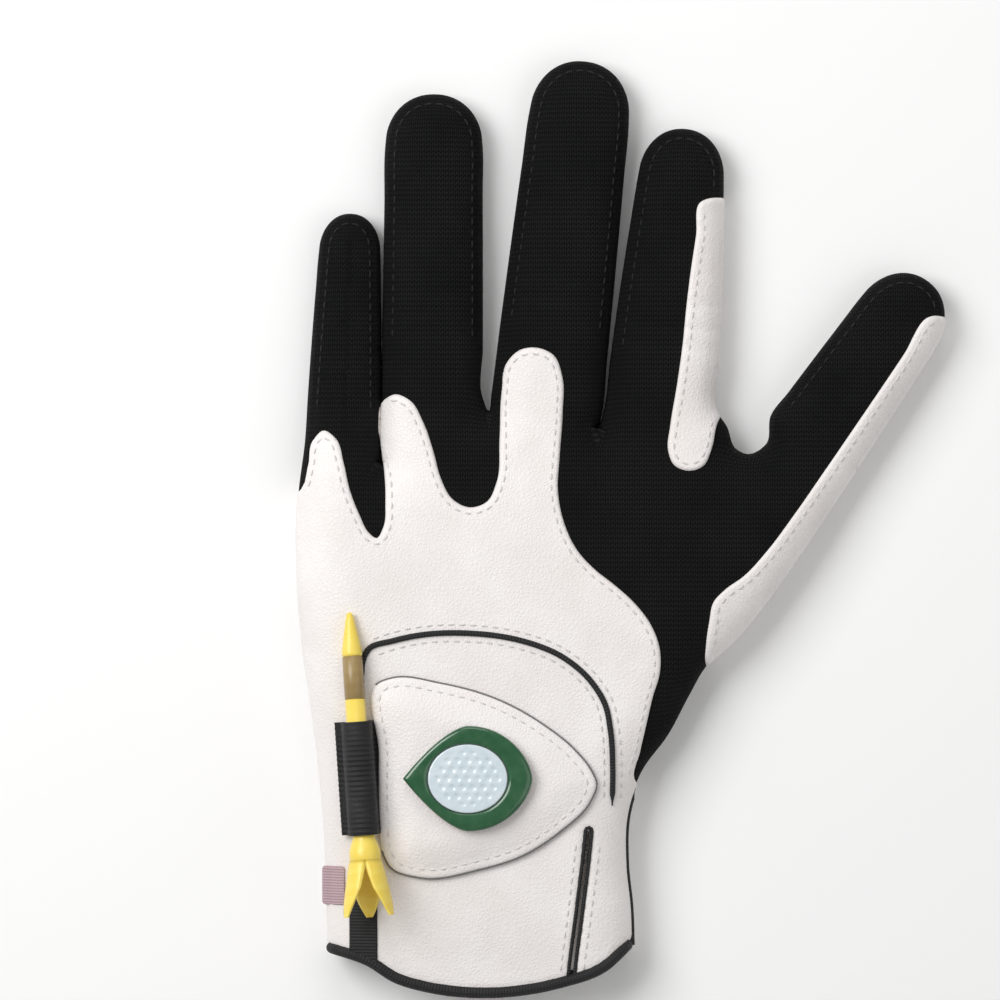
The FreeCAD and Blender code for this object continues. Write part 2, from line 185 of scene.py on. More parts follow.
def nearest(points, line):
    """Distance from each point to a line of points, the segment it is nearest to and the way to it."""
    tree = KDTree(len(line))
    for i, (x, y) in enumerate(line):
        tree.insert((x, y, 0.0), i)
    tree.balance()
    close = np.array([tree.find((x, y, 0.0))[1] for x, y in points])
    distance = np.full(len(points), FAR)
    segment = np.zeros(len(points), int)
    toward = np.zeros_like(points)
    for step in (-1, 0):
        k = np.clip(close + step, 0, len(line) - 2)
        along = line[k + 1] - line[k]
        length2 = np.maximum((along**2).sum(1), 1e-12)
        t = np.clip(((points - line[k]) * along).sum(1) / length2, 0, 1)
        way = line[k] + along * t[:, None] - points
        gap = np.linalg.norm(way, axis=1)
        better = gap < distance
        distance[better] = gap[better]
        segment[better] = k[better]
        toward[better] = way[better]
    return distance, segment, toward


def inside(points, loop):
    """Which points lie inside a closed loop."""
    flat = [Vector((x, y, 0.0)) for x, y in loop]
    cover = BVHTree.FromPolygons(flat, tessellate_polygon([flat]))
    down = Vector((0.0, 0.0, -1.0))
    return np.array([cover.ray_cast(Vector((x, y, 1.0)), down)[0] is not None for x, y in points])


def edge_gap(points, loop):
    """Distance from each point to a closed loop's edge."""
    return nearest(points, closed_line(loop))[0]


def unbroken(line, shortest):
    """A line's runs without a gap in them, leaving out those with few points."""
    gap = np.linalg.norm(np.diff(line, axis=0), axis=1)
    runs = np.split(line, np.where(gap > LINE_BREAK)[0] + 1)
    return [run for run in runs if len(run) > shortest]


def spread(loop, step):
    """Evenly spread points inside a loop, each row half a step beside the last one."""
    low, high = loop.min(0), loop.max(0)
    gx, gy = np.meshgrid(np.arange(low[0], high[0], step), np.arange(low[1], high[1], step * ROW_SHARE))
    gx[1::2] += step / 2
    grid = np.column_stack([gx.ravel(), gy.ravel()])
    return grid[inside(grid, loop)]


def triangles(points, edges, output):
    """Points and triangles of a mesh through all the points that keeps the edges."""
    found = delaunay_2d_cdt([Vector(p) for p in points], edges, [], output, 1e-4)
    return np.array([tuple(v) for v in found[0]]), np.array([t for t in found[2] if len(t) == 3])


# ---- outline ----
def half_width(f, v):
    """Half of a finger's width at the length v along it."""
    share = np.clip(v / (f["length"] - f["nail"]), 0, 1)
    return f["root"] - (f["root"] - f["tip"]) * share**1.6


def in_finger(f, points):
    """Across and along coordinates in one finger."""
    offset = points - f["base"]
    return offset @ f["across"], offset @ f["along"]


def place(f, u, v):
    """The point in the plane at (across, along) in one finger."""
    return f["base"] + f["across"] * u + f["along"] * v


def finger_outline(f):
    """Up one side, round the tip and down the other side."""
    reach = f["length"] - f["nail"]
    up = [(-half_width(f, v), v) for v in np.linspace(f["start"], reach, 6)]
    turn = np.radians(np.linspace(180, 0, 13))[1:-1]
    squarer = np.sign(np.cos(turn)) * np.abs(np.cos(turn)) ** 0.93
    tip = list(zip(f["tip"] * squarer, reach + f["nail"] * np.sin(turn)))
    down = [(half_width(f, v), v) for v in np.linspace(reach, f["end"], 6)]
    return [tuple(place(f, u, v)) for u, v in up + tip + down]


LEFT_SIDE = [
    (-35.0, -57.5), (-35.2, -44.0), (-35.9, -28.0), (-38.2, -6.0), (-41.0, 14.0), (-42.2, 32.0),
    (-41.9, 47.0),
]
RIGHT_SIDE = [
    (58.4, 13.6), (51.9, 7.4), (48.2, 1.0), (43.4, -8.0), (37.2, -16.6), (34.0, -26.0), (33.6, -38.0),
    (34.6, -48.0), (34.9, -56.4),
]
FIRST_CROTCH = (-22.67, 54.5)
SECOND_CROTCH = (2.0, 66.4)
THIRD_CROTCH = (27.2, 62.2)
WEB_CROTCH = [(56.9, 63.0), (59.0, 57.8), (61.6, 56.6), (66.0, 59.0)]
HEM = [
    (34.9, -56.4), (28.5, -62.0), (18.4, -65.6), (0.0, -67.9), (-12.0, -66.6), (-19.5, -64.4), (-26.0, -60.4),
    (-35.0, -57.5),
]

round_the_glove = (
    LEFT_SIDE
    + finger_outline(FINGERS["little"]) + [FIRST_CROTCH]
    + finger_outline(FINGERS["ring"]) + [SECOND_CROTCH]
    + finger_outline(FINGERS["middle"]) + [THIRD_CROTCH]
    + finger_outline(FINGERS["index"]) + WEB_CROTCH
    + finger_outline(FINGERS["thumb"]) + RIGHT_SIDE
)
sides = smooth(round_the_glove, 0.85)
hem = smooth(HEM, 0.85)
outline = np.vstack([sides, hem[1:-1]])

# ---- heights of the back and the palm side over the plane ----
hand_height = profile([
    (-80, 12.6), (-66, 13.2), (-48, 14.8), (-22, 15.7), (8, 15.7), (34, 15.0), (62, 12.3), (90, 11.5),
    (150, 11.5),
])


def finger_shares(points):
    """How much each finger, rather than the hand, sets the skin's shape at each point."""
    shares = {}
    for name, f in FINGERS.items():
        u, v = in_finger(f, points)
        lateral = 1 - smoothstep((np.abs(u) - half_width(f, v) + 0.5) / 4.0)
        begin = THUMB_BEGIN if name == "thumb" else FINGER_BEGIN
        shares[name] = smoothstep((v - begin) / FINGER_RISE) * lateral
    return shares


def body_shape(points):
    """Thickness, and the width of the rounded edge, at each point."""
    shares = finger_shares(points)
    rest = np.clip(1 - sum(shares.values()), 0, 1)
    total = sum(shares.values()) + rest
    thick = rest * hand_height(points[:, 1])
    edge = rest * HAND_EDGE
    for name, f in FINGERS.items():
        _, v = in_finger(f, points)
        taper = 1 - 0.10 * smoothstep((v - f["knuckle"]) / (f["length"] - f["knuckle"]))
        thick += shares[name] * f["height"] * taper
        edge += shares[name] * (f["tip"] - 0.5)
    return thick / total, edge / total


def puff(share):
    """Height of a rounded edge: 0 at the edge and 1 where it has fully risen."""
    return (1 - (1 - np.clip(share, 0, 1)) ** PUFF) ** (1 / PUFF)


def soft_noise(points, size, seed):
    return np.array([noise.noise(Vector((x / size, y / size, seed))) for x, y in points])


def folds(points, sharp):
    """Creases over the knuckles and the slack of soft leather."""
    depth = 0.32 * soft_noise(points, 19.0, 3.1) + 0.16 * soft_noise(points * (1.0, 0.55), 6.5, 7.7)
    for f in FINGERS.values():
        u, v = in_finger(f, points)
        own = (np.abs(u) < half_width(f, v) + 1.0) & (v > f["knuckle"] - 22) & (v < f["length"] + 1)
        u, v, wide = u[own], v[own], half_width(f, v[own])
        for at, size in BACK_CREASES:
            bow = f["knuckle"] + at + 0.9 * (u / wide) ** 2 * math.copysign(1.0, at)
            wander = 0.7 * soft_noise(points[own] * 0.5, 5.0, at)
            depth[own] -= sharp * size * np.exp(-(((v - bow - wander) / 1.15) ** 2))
    return depth


PALM_SEAMS = [
    [(44.0, 48.0), (36.0, 40.0), (31.0, 28.0), (31.0, 14.0), (35.0, 1.0), (41.0, -8.0)],
    [(-38.0, 35.0), (-20.0, 42.0), (0.0, 45.0), (22.0, 46.0), (40.0, 46.0)],
]


def palm_grooves(points):
    """The palm's sewn seams sink in, and so do the lines where the fingers bend."""
    depth = np.zeros(len(points))
    for line in PALM_SEAMS:
        depth += 0.5 * np.exp(-((nearest(points, smooth(line, 0.8))[0] / 1.0) ** 2))
    for f in FINGERS.values():
        u, v = in_finger(f, points)
        own = np.abs(u) < half_width(f, v) + 1.0
        for at, size in PALM_CREASES:
            depth += own * size * np.exp(-(((v - f["knuckle"] - at) / 1.3) ** 2))
    return depth


def surface(points, distance, upper):
    """Positions of the bare skin above the seam (upper) or below it."""
    thick, edge = body_shape(points)
    seam = SEAM_SHARE * thick
    if upper:
        swell = puff(distance / edge)
        sewn = np.clip(sum(finger_shares(points).values()), 0, 1)
        groove = 0.3 * sewn * np.exp(-(((distance - FORK) / 0.45) ** 2))
        z = seam + (thick - seam) * swell + folds(points, 1.0) * swell**2 - groove
    else:
        swell = puff(distance / (edge * 0.72))
        sunk = np.maximum(folds(points, -0.6), 0.0) + palm_grooves(points)
        z = FLOOR_GAP + (seam - FLOOR_GAP) * (1 - swell) + sunk * swell**2
    return np.column_stack([points, z])


# ---- seams and panel edges, drawn in the plane ----
BACK_EDGE = [
    (-46.0, 46.0), (-41.0, 48.6), (-39.4, 54.0), (-38.4, 59.6), (-36.0, 62.0), (-33.2, 60.2), (-31.3, 54.5),
    (-29.9, 48.4), (-27.6, 42.5), (-25.4, 38.4), (-23.7, 37.2), (-22.3, 39.4), (-21.7, 46.0), (-22.4, 56.0),
    (-23.4, 63.6), (-22.6, 68.4), (-19.6, 70.3), (-16.0, 68.8), (-13.1, 64.0), (-10.7, 57.2), (-8.9, 50.8),
    (-6.3, 46.2), (-2.3, 44.3), (1.6, 45.6), (3.8, 50.0), (4.5, 60.0), (5.0, 71.0), (6.3, 77.8), (9.0, 80.4),
    (13.0, 81.0), (17.0, 79.2), (18.9, 74.5), (19.0, 66.0), (18.3, 56.0), (17.9, 48.0), (19.4, 40.5),
    (22.3, 34.5), (26.2, 30.2), (31.0, 26.4), (35.6, 22.2), (39.2, 17.4), (41.2, 12.0), (41.2, 6.0),
    (39.7, 1.0), (38.3, -5.0), (36.8, -11.5), (35.4, -18.0), (40.0, -22.0),
]
INDEX_PANEL = [
    (50.6, 114.4), (49.7, 107.0), (48.5, 99.0), (47.5, 91.0), (46.6, 82.0), (45.2, 72.0), (43.7, 63.0),
    (43.2, 57.4), (44.6, 54.0), (47.9, 52.7), (51.3, 53.8), (53.2, 57.6), (54.6, 63.6), (58.5, 70.0),
    (61.0, 92.0), (62.0, 112.0), (57.0, 115.4),
]
THUMB_PANEL = [
    (62.0, 0.0), (100.0, 40.0), (116.0, 84.0), (103.0, 88.0), (97.4, 79.4), (92.0, 71.4), (86.0, 62.6),
    (79.0, 52.4), (72.0, 42.4), (66.0, 34.4), (60.4, 28.4), (56.2, 25.4), (53.6, 22.6), (52.6, 18.0),
    (51.9, 12.5), (51.9, 8.4), (56.0, 4.0),
]
SLIT = [(24.8, -29.9), (24.0, -38.0), (22.6, -50.0), (21.2, -61.0), (20.6, -68.0)]
SLIT_HALF = 0.42
SLIT_TAPE_END = -63.6  # where the slit's tape goes under the hem's

back_edge = smooth(BACK_EDGE, 0.7)
back_loop = np.vstack([back_edge, [(60, -40), (60, -FAR), (-FAR, -FAR), (-FAR, 46)]])
index_panel = smooth(INDEX_PANEL, 0.7, closed=True)
thumb_panel = smooth(THUMB_PANEL, 0.7, closed=True)
slit = smooth(SLIT, 0.8)
slit_sides = side_normals(slit) * SLIT_HALF
slit_loop = np.vstack([slit + slit_sides, (slit - slit_sides)[::-1]])


def cut_line(f):
    """Straight across the finger, where it begins to bend."""
    v = f["knuckle"] - BEND_HALF
    wide = half_width(f, v) + 1.2
    return np.array([place(f, u, v) for u in np.linspace(-wide, wide, 24)])


def plan_mesh():
    """One triangle mesh of the whole outline, with every seam and edge as lines in it."""
    lines = [(outline, True), (back_edge, False), (index_panel, True), (thumb_panel, True), (slit_loop, True)]
    lines += [(cut_line(f), False) for f in FINGERS.values()]
    inward = -side_normals(sides)
    lines.append((sides + inward * FORK, False))
    points, edges = [], []
    for line, closed in lines:
        first = len(points)
        points.extend(map(tuple, line))
        count = len(line)
        edges.extend((first + i, first + (i + 1) % count) for i in range(count if closed else count - 1))
    fixed = np.array(points)
    rings = [sides + inward * d for d in SIDE_ROWS]
    edge_normal = side_normals(back_edge)
    rings += [back_edge - edge_normal * b for b in EDGE_ROWS]
    for loop in (index_panel, thumb_panel):
        rings += [loop + inward_normals(loop) * b for b in EDGE_ROWS]
    grid = spread(outline, MESH_STEP)
    grid = grid[nearest(grid, sides)[0] > SIDE_CLEAR]
    for line in (closed_line(outline), back_edge, closed_line(index_panel), closed_line(thumb_panel)):
        grid = grid[nearest(grid, line)[0] > EDGE_CLEAR]
    loose = np.vstack(rings + [grid])
    loose = loose[inside(loose, outline)]
    keep = np.ones(len(loose), bool)
    for line, closed in lines:
        keep &= nearest(loose, closed_line(line) if closed else line)[0] > 0.1
    loose = loose[keep]
    _, order = np.unique(np.round(loose / 0.3), axis=0, return_index=True)
    loose = loose[np.sort(order)]
    verts, tris = triangles(np.vstack([fixed, loose]), edges, 0)
    return verts, tris[inside(verts[tris].mean(1), outline)]


# ---- finishes ----
def new_group(name, inputs, outputs):
    """An empty node group with number, colour or vector sockets."""
    kinds = {"number": "NodeSocketFloat", "colour": "NodeSocketColor", "vector": "NodeSocketVector"}
    group = bpy.data.node_groups.new(name, "ShaderNodeTree")
    for label, kind, value in inputs:
        socket = group.interface.new_socket(label, in_out="INPUT", socket_type=kinds[kind])
        if value is not None:
            socket.default_value = value
    for label, kind in outputs:
        group.interface.new_socket(label, in_out="OUTPUT", socket_type=kinds[kind])
    return group, Nodes(group)


class Nodes:
    """Short ways to add and join nodes in one tree."""

    def __init__(self, tree):
        self.tree = tree

    def add(self, kind, settings=None, **inputs):
        node = self.tree.nodes.new(f"ShaderNode{kind}")
        for key, value in (settings or {}).items():
            setattr(node, key, value)
        for key, value in inputs.items():
            self.feed(node, key.replace("_", " "), value)
        return node

    def feed(self, node, key, value):
        socket = node.inputs[int(key)] if key.isdigit() else node.inputs[key]
        if isinstance(value, bpy.types.NodeSocket):
            self.tree.links.new(value, socket)
        else:
            socket.default_value = value

    def math(self, operation, a, b=0.0):
        node = self.tree.nodes.new("ShaderNodeMath")
        node.operation = operation
        self.feed(node, "0", a)
        self.feed(node, "1", b)
        return node.outputs[0]

    def mix(self, share, a, b):
        node = self.tree.nodes.new("ShaderNodeMix")
        node.data_type = "RGBA"
        for k, value in ((0, share), (6, a), (7, b)):
            self.feed(node, str(k), value)
        return node.outputs[2]

    def span(self, value, low, high, to_low=0.0, to_high=1.0):
        node = self.tree.nodes.new("ShaderNodeMapRange")
        for k, v in enumerate((value, low, high, to_low, to_high)):
            self.feed(node, str(k), v)
        return node.outputs[0]

    def parts(self, vector):
        node = self.tree.nodes.new("ShaderNodeSeparateXYZ")
        self.feed(node, "0", vector)
        return node.outputs[0], node.outputs[1]

    def output(self, **values):
        node = self.tree.nodes.new("NodeGroupOutput")
        for key, value in values.items():
            self.tree.links.new(value, node.inputs[key.replace("_", " ")])


def grain_group():
    """Pebbled hide: small cells with creases between them, and a slow change of tone. Cloth units are cm."""
    group, n = new_group(
        "hide grain",
        [("Place", "vector", None), ("Cell", "number", 11.0), ("Depth", "number", 1.0)],
        [("Height", "number"), ("Tone", "number"), ("Wear", "number")],
    )
    given = n.tree.nodes.new("NodeGroupInput").outputs
    cells = n.add("TexVoronoi", {"feature": "DISTANCE_TO_EDGE"}, Vector=given["Place"], Scale=given["Cell"])
    pebble = n.span(cells.outputs["Distance"], 0.0, 0.28)
    broad = n.add("TexNoise", Vector=given["Place"], Scale=0.55, Detail=3.0, Roughness=0.55)
    fine = n.add("TexNoise", Vector=given["Place"], Scale=24.0, Detail=2.0, Roughness=0.6)
    handled = n.add("TexNoise", Vector=given["Place"], Scale=2.6, Detail=5.0)
    raised = n.math("ADD", n.math("MULTIPLY", pebble, 0.7), n.math("MULTIPLY", fine.outputs["Fac"], 0.5))
    n.output(
        Height=n.math("MULTIPLY", raised, given["Depth"]),
        Tone=broad.outputs["Fac"],
        Wear=n.span(handled.outputs["Fac"], 0.46, 0.68),
    )
    return group


def knit_group():
    """Rows of V-shaped stitches. Wale is the number of stitch columns in a centimetre."""
    group, n = new_group(
        "knit stitches",
        [("Place", "vector", None), ("Wale", "number", 9.0)],
        [("Height", "number"), ("Yarn", "number"), ("Tone", "number")],
    )
    given = n.tree.nodes.new("NodeGroupInput").outputs
    across, along = n.parts(given["Place"])
    column = n.math("MULTIPLY", across, given["Wale"])
    off_centre = n.math("ABSOLUTE", n.math("SUBTRACT", n.math("FRACT", column), 0.5))
    row = n.math("ADD", n.math("MULTIPLY", along, given["Wale"]), n.math("MULTIPLY", off_centre, 1.3))
    loop = n.span(n.math("SINE", n.math("MULTIPLY", row, math.tau)), -1.0, 1.0)
    rib = n.span(n.math("SINE", n.math("MULTIPLY", off_centre, math.tau)), 0.0, 0.8)
    broad = n.add("TexNoise", Vector=given["Place"], Scale=0.7, Detail=3.0)
    n.output(
        Height=n.math("MULTIPLY", n.math("ADD", loop, 0.3), rib),
        # Yarn is 1 on the raised yarn and 0 in the hollows between stitches; the knit finish paints shade in
        # the hollows from it.
        Yarn=n.math("MULTIPLY", loop, rib),
        Tone=broad.outputs["Fac"],
    )
    return group


def tape_group():
    """Woven tape: ribs across its length, crossed by the yarns of the weave."""
    group, n = new_group(
        "woven tape",
        [("Place", "vector", None), ("Ribs", "number", 10.0)],
        [("Height", "number"), ("Tone", "number")],
    )
    given = n.tree.nodes.new("NodeGroupInput").outputs
    across, along = n.parts(given["Place"])
    rib = n.math("SINE", n.math("MULTIPLY", n.math("MULTIPLY", along, given["Ribs"]), math.tau))
    yarn = n.math("SINE", n.math("MULTIPLY", n.math("MULTIPLY", across, given["Ribs"]), 1.7 * math.tau))
    woven = n.math("ADD", n.math("MULTIPLY", rib, 0.35), n.math("MULTIPLY", yarn, 0.15))
    n.output(
        # The same height also sets the painted shade in the grooves, in the tape finish.
        Height=n.math("ADD", woven, 0.5),
        Tone=n.add("TexNoise", Vector=given["Place"], Scale=3.0, Detail=3.0).outputs["Fac"],
    )
    return group


HIDE, STITCHES, TAPE = grain_group(), knit_group(), tape_group()


def start_material(name):
    """A material with its node helper, its shader and the cloth's own coordinates."""
    material = bpy.data.materials.new(name)
    material.use_nodes = True
    n = Nodes(material.node_tree)
    shader = material.node_tree.nodes["Principled BSDF"]
    place = n.add("UVMap", {"uv_map": "cloth"}).outputs[0]
    return material, n, shader, place


def put(n, group, place, **inputs):
    """A shared group placed in one material with its own values."""
    node = n.tree.nodes.new("ShaderNodeGroup")
    node.node_tree = group
    n.feed(node, "Place", place)
    for key, value in inputs.items():
        n.feed(node, key, value)
    return node.outputs


def rough_to_touch(n, shader, height, distance, strength):
    bump = n.add("Bump", Height=height, Distance=distance, Strength=strength)
    n.feed(shader, "Normal", bump.outputs[0])


def leather(name, light, shade, cell=11.0, roughness=0.46, depth=0.00012):
    material, n, shader, place = start_material(name)
    hide = put(n, HIDE, place, Cell=cell)
    tone = n.mix(n.span(hide["Tone"], 0.3, 0.7), shade, light)
    n.feed(shader, "Base Color", n.mix(n.math("MULTIPLY", hide["Wear"], 0.25), tone, shade))
    n.feed(shader, "Roughness", n.span(hide["Height"], 0.2, 1.1, roughness + 0.12, roughness - 0.05))
    n.feed(shader, "Sheen Weight", 0.08)
    n.feed(shader, "Sheen Roughness", 0.5)
    rough_to_touch(n, shader, hide["Height"], depth, 0.7)
    return material


def knit(name, hollow_shade, yarn, wale=9.0):
    material, n, shader, place = start_material(name)
    cloth = put(n, STITCHES, place, Wale=wale)
    # Painted shade: the hollows between the stitches take the darker colour, the raised yarn the lighter one.
    colour = n.mix(cloth["Yarn"], hollow_shade, yarn)
    n.feed(shader, "Base Color", n.mix(n.span(cloth["Tone"], 0.35, 0.75, 0.0, 0.45), colour, hollow_shade))
    n.feed(shader, "Roughness", n.span(cloth["Tone"], 0.3, 0.7, 0.72, 0.86))
    n.feed(shader, "Specular IOR Level", 0.1)
    rough_to_touch(n, shader, cloth["Height"], 0.0003, 0.9)
    return material


def tape(name, hollow_shade, light, ribs=10.0, roughness=0.6):
    material, n, shader, place = start_material(name)
    weave = put(n, TAPE, place, Ribs=ribs)
    # Painted shade: the low grooves of the weave take the darker colour, the raised ribs the lighter one.
    colour = n.mix(n.span(weave["Height"], 0.1, 0.9), hollow_shade, light)
    n.feed(shader, "Base Color", n.mix(n.span(weave["Tone"], 0.4, 0.8, 0.0, 0.3), colour, hollow_shade))
    n.feed(shader, "Roughness", n.span(weave["Tone"], 0.3, 0.7, roughness, roughness + 0.12))
    rough_to_touch(n, shader, weave["Height"], 0.0002, 0.8)
    return material


def glossy(name, colour, second, roughness=0.22, coat=0.6, metallic=0.0, speck=4.0):
    """Paint, enamel, plastic or metal, with a little unevenness of tone and gloss."""
    material, n, shader, place = start_material(name)
    cloud = n.add("TexNoise", Vector=place, Scale=speck, Detail=4.0).outputs["Fac"]
    n.feed(shader, "Base Color", n.mix(n.span(cloud, 0.35, 0.7), colour, second))
    n.feed(shader, "Roughness", n.span(cloud, 0.3, 0.7, roughness, roughness + 0.1))
    n.feed(shader, "Metallic", metallic)
    n.feed(shader, "Coat Weight", coat)
    n.feed(shader, "Coat Roughness", 0.08)
    return material


WHITE_LEATHER = leather("white leather", (0.91, 0.875, 0.855, 1), (0.84, 0.79, 0.77, 1))
PALM_LEATHER = leather(
    "palm leather", (0.88, 0.85, 0.82, 1), (0.80, 0.755, 0.725, 1), cell=13.0, roughness=0.5,
)
TAB_LEATHER = leather("tab leather", (0.92, 0.885, 0.87, 1), (0.86, 0.81, 0.79, 1), roughness=0.42)
# In the knit and tape finishes below, the first colour is the painted shade in the hollows of the stitches or
# weave; the second is the raised yarn.
BLACK_KNIT = knit("black knit", (0.0035, 0.0038, 0.0038, 1), (0.018, 0.019, 0.018, 1))
BLACK_BINDING = tape("black binding", (0.004, 0.004, 0.0045, 1), (0.012, 0.012, 0.013, 1), ribs=14.0)
BLACK_ELASTIC = tape("black elastic", (0.004, 0.004, 0.0045, 1), (0.014, 0.014, 0.015, 1), ribs=9.0)
GREY_EDGE = tape("grey edge cord", (0.13, 0.125, 0.125, 1), (0.27, 0.26, 0.255, 1), ribs=18.0)
WHITE_ELASTIC = tape("white elastic", (0.62, 0.60, 0.57, 1), (0.82, 0.80, 0.77, 1), ribs=9.0)
WHITE_THREAD = tape("white thread", (0.76, 0.73, 0.71, 1), (0.92, 0.90, 0.88, 1), ribs=22.0)
BLACK_THREAD = tape("black thread", (0.004, 0.004, 0.004, 1), (0.013, 0.013, 0.013, 1), ribs=22.0)
HOOK_TAPE = tape("hook tape", (0.42, 0.41, 0.39, 1), (0.78, 0.76, 0.73, 1), ribs=13.0, roughness=0.5)
LOOP_TAPE = tape("loop tape", (0.55, 0.53, 0.51, 1), (0.84, 0.82, 0.80, 1), ribs=5.0, roughness=0.85)
MAUVE_TAPE = tape("mauve tag", (0.40, 0.28, 0.31, 1), (0.58, 0.42, 0.45, 1), ribs=16.0)
GREEN_ENAMEL = glossy(
    "green enamel", (0.006, 0.085, 0.028, 1), (0.022, 0.110, 0.040, 1), roughness=0.16, coat=0.8,
)
WHITE_ENAMEL = glossy("white enamel", (0.62, 0.72, 0.78, 1), (0.70, 0.79, 0.83, 1), roughness=0.2, coat=0.7)
STEEL = glossy(
    "plated steel", (0.56, 0.56, 0.55, 1), (0.44, 0.44, 0.43, 1), roughness=0.26, coat=0.0, metallic=1.0,
)
YELLOW_PLASTIC = glossy(
    "yellow plastic", (0.90, 0.66, 0.085, 1), (0.94, 0.74, 0.14, 1), roughness=0.34, coat=0.2,
)
# Colour of the tan band on the tee's shaft, between its point and the elastic loop.
TAN_BAND = glossy(
    "tan band", (0.30, 0.20, 0.075, 1), (0.38, 0.27, 0.11, 1), roughness=0.34, coat=0.2, speck=9.0,
)


# ---- meshes ----
def make_mesh(name, verts, faces, uv=None, loop_normals=None):
    """A mesh object from millimetre points. uv holds one pair for each point."""
    mesh = bpy.data.meshes.new(name)
    mesh.from_pydata((np.asarray(verts) * MM).tolist(), [], [list(map(int, f)) for f in faces])
    corner = np.zeros(len(mesh.loops), int)
    mesh.loops.foreach_get("vertex_index", corner)
    layer = mesh.uv_layers.new(name="cloth")
    if uv is None:
        uv = np.asarray(verts)[:, :2]
    layer.data.foreach_set("uv", (np.asarray(uv)[corner] * 0.1).astype(np.float32).ravel())
    mesh.polygons.foreach_set("use_smooth", np.ones(len(mesh.polygons), bool))
    if loop_normals is not None:
        mesh.normals_split_custom_set(loop_normals.tolist())
    piece = bpy.data.objects.new(name, mesh)
    bpy.context.scene.collection.objects.link(piece)
    return piece


def ring_faces(rings, around, closed=False, first=0):
    """Four-sided faces between rings of points that follow each other."""
    faces = []
    for i in range(rings if closed else rings - 1):
        a, b = first + i * around, first + (i + 1) % rings * around
        for k in range(around):
            m = (k + 1) % around
            faces.append((a + k, a + m, b + m, b + k))
    return faces


def turned_over(faces):
    """The same four-sided faces, seen from their other side."""
    return [(a, d, c, b) for a, b, c, d in faces]


def unit(v):
    return v / np.maximum(np.linalg.norm(v, axis=-1, keepdims=True), 1e-9)


def point_normals(points, tris):
    face = np.cross(points[tris[:, 1]] - points[tris[:, 0]], points[tris[:, 2]] - points[tris[:, 0]])
    total = np.zeros_like(points)
    for k in range(3):
        np.add.at(total, tris[:, k], face)
    return unit(total)


def rim_edges(tris):
    """Directed edges that only one triangle uses."""
    edges = np.vstack([tris[:, [0, 1]], tris[:, [1, 2]], tris[:, [2, 0]]]).astype(np.int64)
    many = int(tris.max()) + 1
    both_ways = np.isin(edges[:, 0] * many + edges[:, 1], edges[:, 1] * many + edges[:, 0])
    return edges[~both_ways]


def shell(name, outer, normal, tris, thick, uv):
    """A closed thin skin: outer face, inner face and the edge between them."""
    n = len(outer)
    inner = outer - normal * thick
    rim = rim_edges(tris)
    quads = np.column_stack([rim[:, 1], rim[:, 0], rim[:, 0] + n, rim[:, 1] + n])
    faces = tris.tolist() + (tris[:, ::-1] + n).tolist() + quads.tolist()
    both = np.vstack([outer, inner])
    corner = both[quads]
    quad_normal = unit(np.cross(corner[:, 2] - corner[:, 0], corner[:, 3] - corner[:, 1]))
    loops = [normal[tris.ravel()], -normal[tris[:, ::-1].ravel()], np.repeat(quad_normal, 4, axis=0)]
    return make_mesh(name, both, faces, np.vstack([uv, uv]), np.vstack(loops))


def paint(piece, material):
    piece.data.materials.clear()
    piece.data.materials.append(material)
    return piece


def bend_with(piece, finger):
    """Bakes the piece's placement into its mesh. The ends of the finger's bend are worked out but not used."""
    f = FINGERS[finger]
    ends = [place(f, 0, f["knuckle"] + side * BEND_HALF) for side in (-1, 1)]
    start, end = [(x * MM, y * MM, f["joint_z"] * MM) for x, y in ends]
    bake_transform(piece)
    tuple(start)
    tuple(end)


# ---- the skin, cut into its panels ----
plan, plan_tris = plan_mesh()
plan_depth, _, plan_toward = nearest(plan, sides)
on_rim = plan_depth < 1e-4
upper_skin = surface(plan, plan_depth, True)
lower_skin = surface(plan, plan_depth, False)
upper_normal = point_normals(upper_skin, plan_tris)
lower_normal = point_normals(lower_skin, plan_tris[:, ::-1])
rim_normal = unit(upper_normal + lower_normal)
upper_normal[on_rim] = rim_normal[on_rim]
lower_normal[on_rim] = rim_normal[on_rim]

outward = unit(plan_toward)
outward[on_rim] = 0
drop = hand_height(plan[:, 1])[:, None] * 0.9 - upper_skin[:, 2:3]
flat_uv = plan + outward * np.clip(drop, 0, 12) * 0.7

centre = plan[plan_tris].mean(1)
centre_depth, _, _ = nearest(centre, sides)
in_back = inside(centre, back_loop)
in_index_panel = inside(centre, index_panel)
in_thumb_panel = inside(centre, thumb_panel)
in_slit = inside(centre, slit_loop)
dark = ~(in_back | in_index_panel | in_thumb_panel)
in_fork = (centre_depth < FORK) & dark


def owner_of(points):
    """Which finger's bending part each point lies in; -1 is the hand."""
    best = np.full(len(points), 1.25)
    owner = np.full(len(points), -1)
    for k, f in enumerate(FINGERS.values()):
        u, v = in_finger(f, points)
        near = np.abs(u) / half_width(f, v)
        take = near < best
        owner[take] = np.where(v[take] > f["knuckle"] - BEND_HALF, k, -1)
        best[take] = near[take]
    return owner


owner = owner_of(centre)


def edge_rise(points, line):
    """How far a laid-on panel has risen at each point, from 0 at its cut edge to 1."""
    return puff(nearest(points, line)[0] / CUT_EDGE)


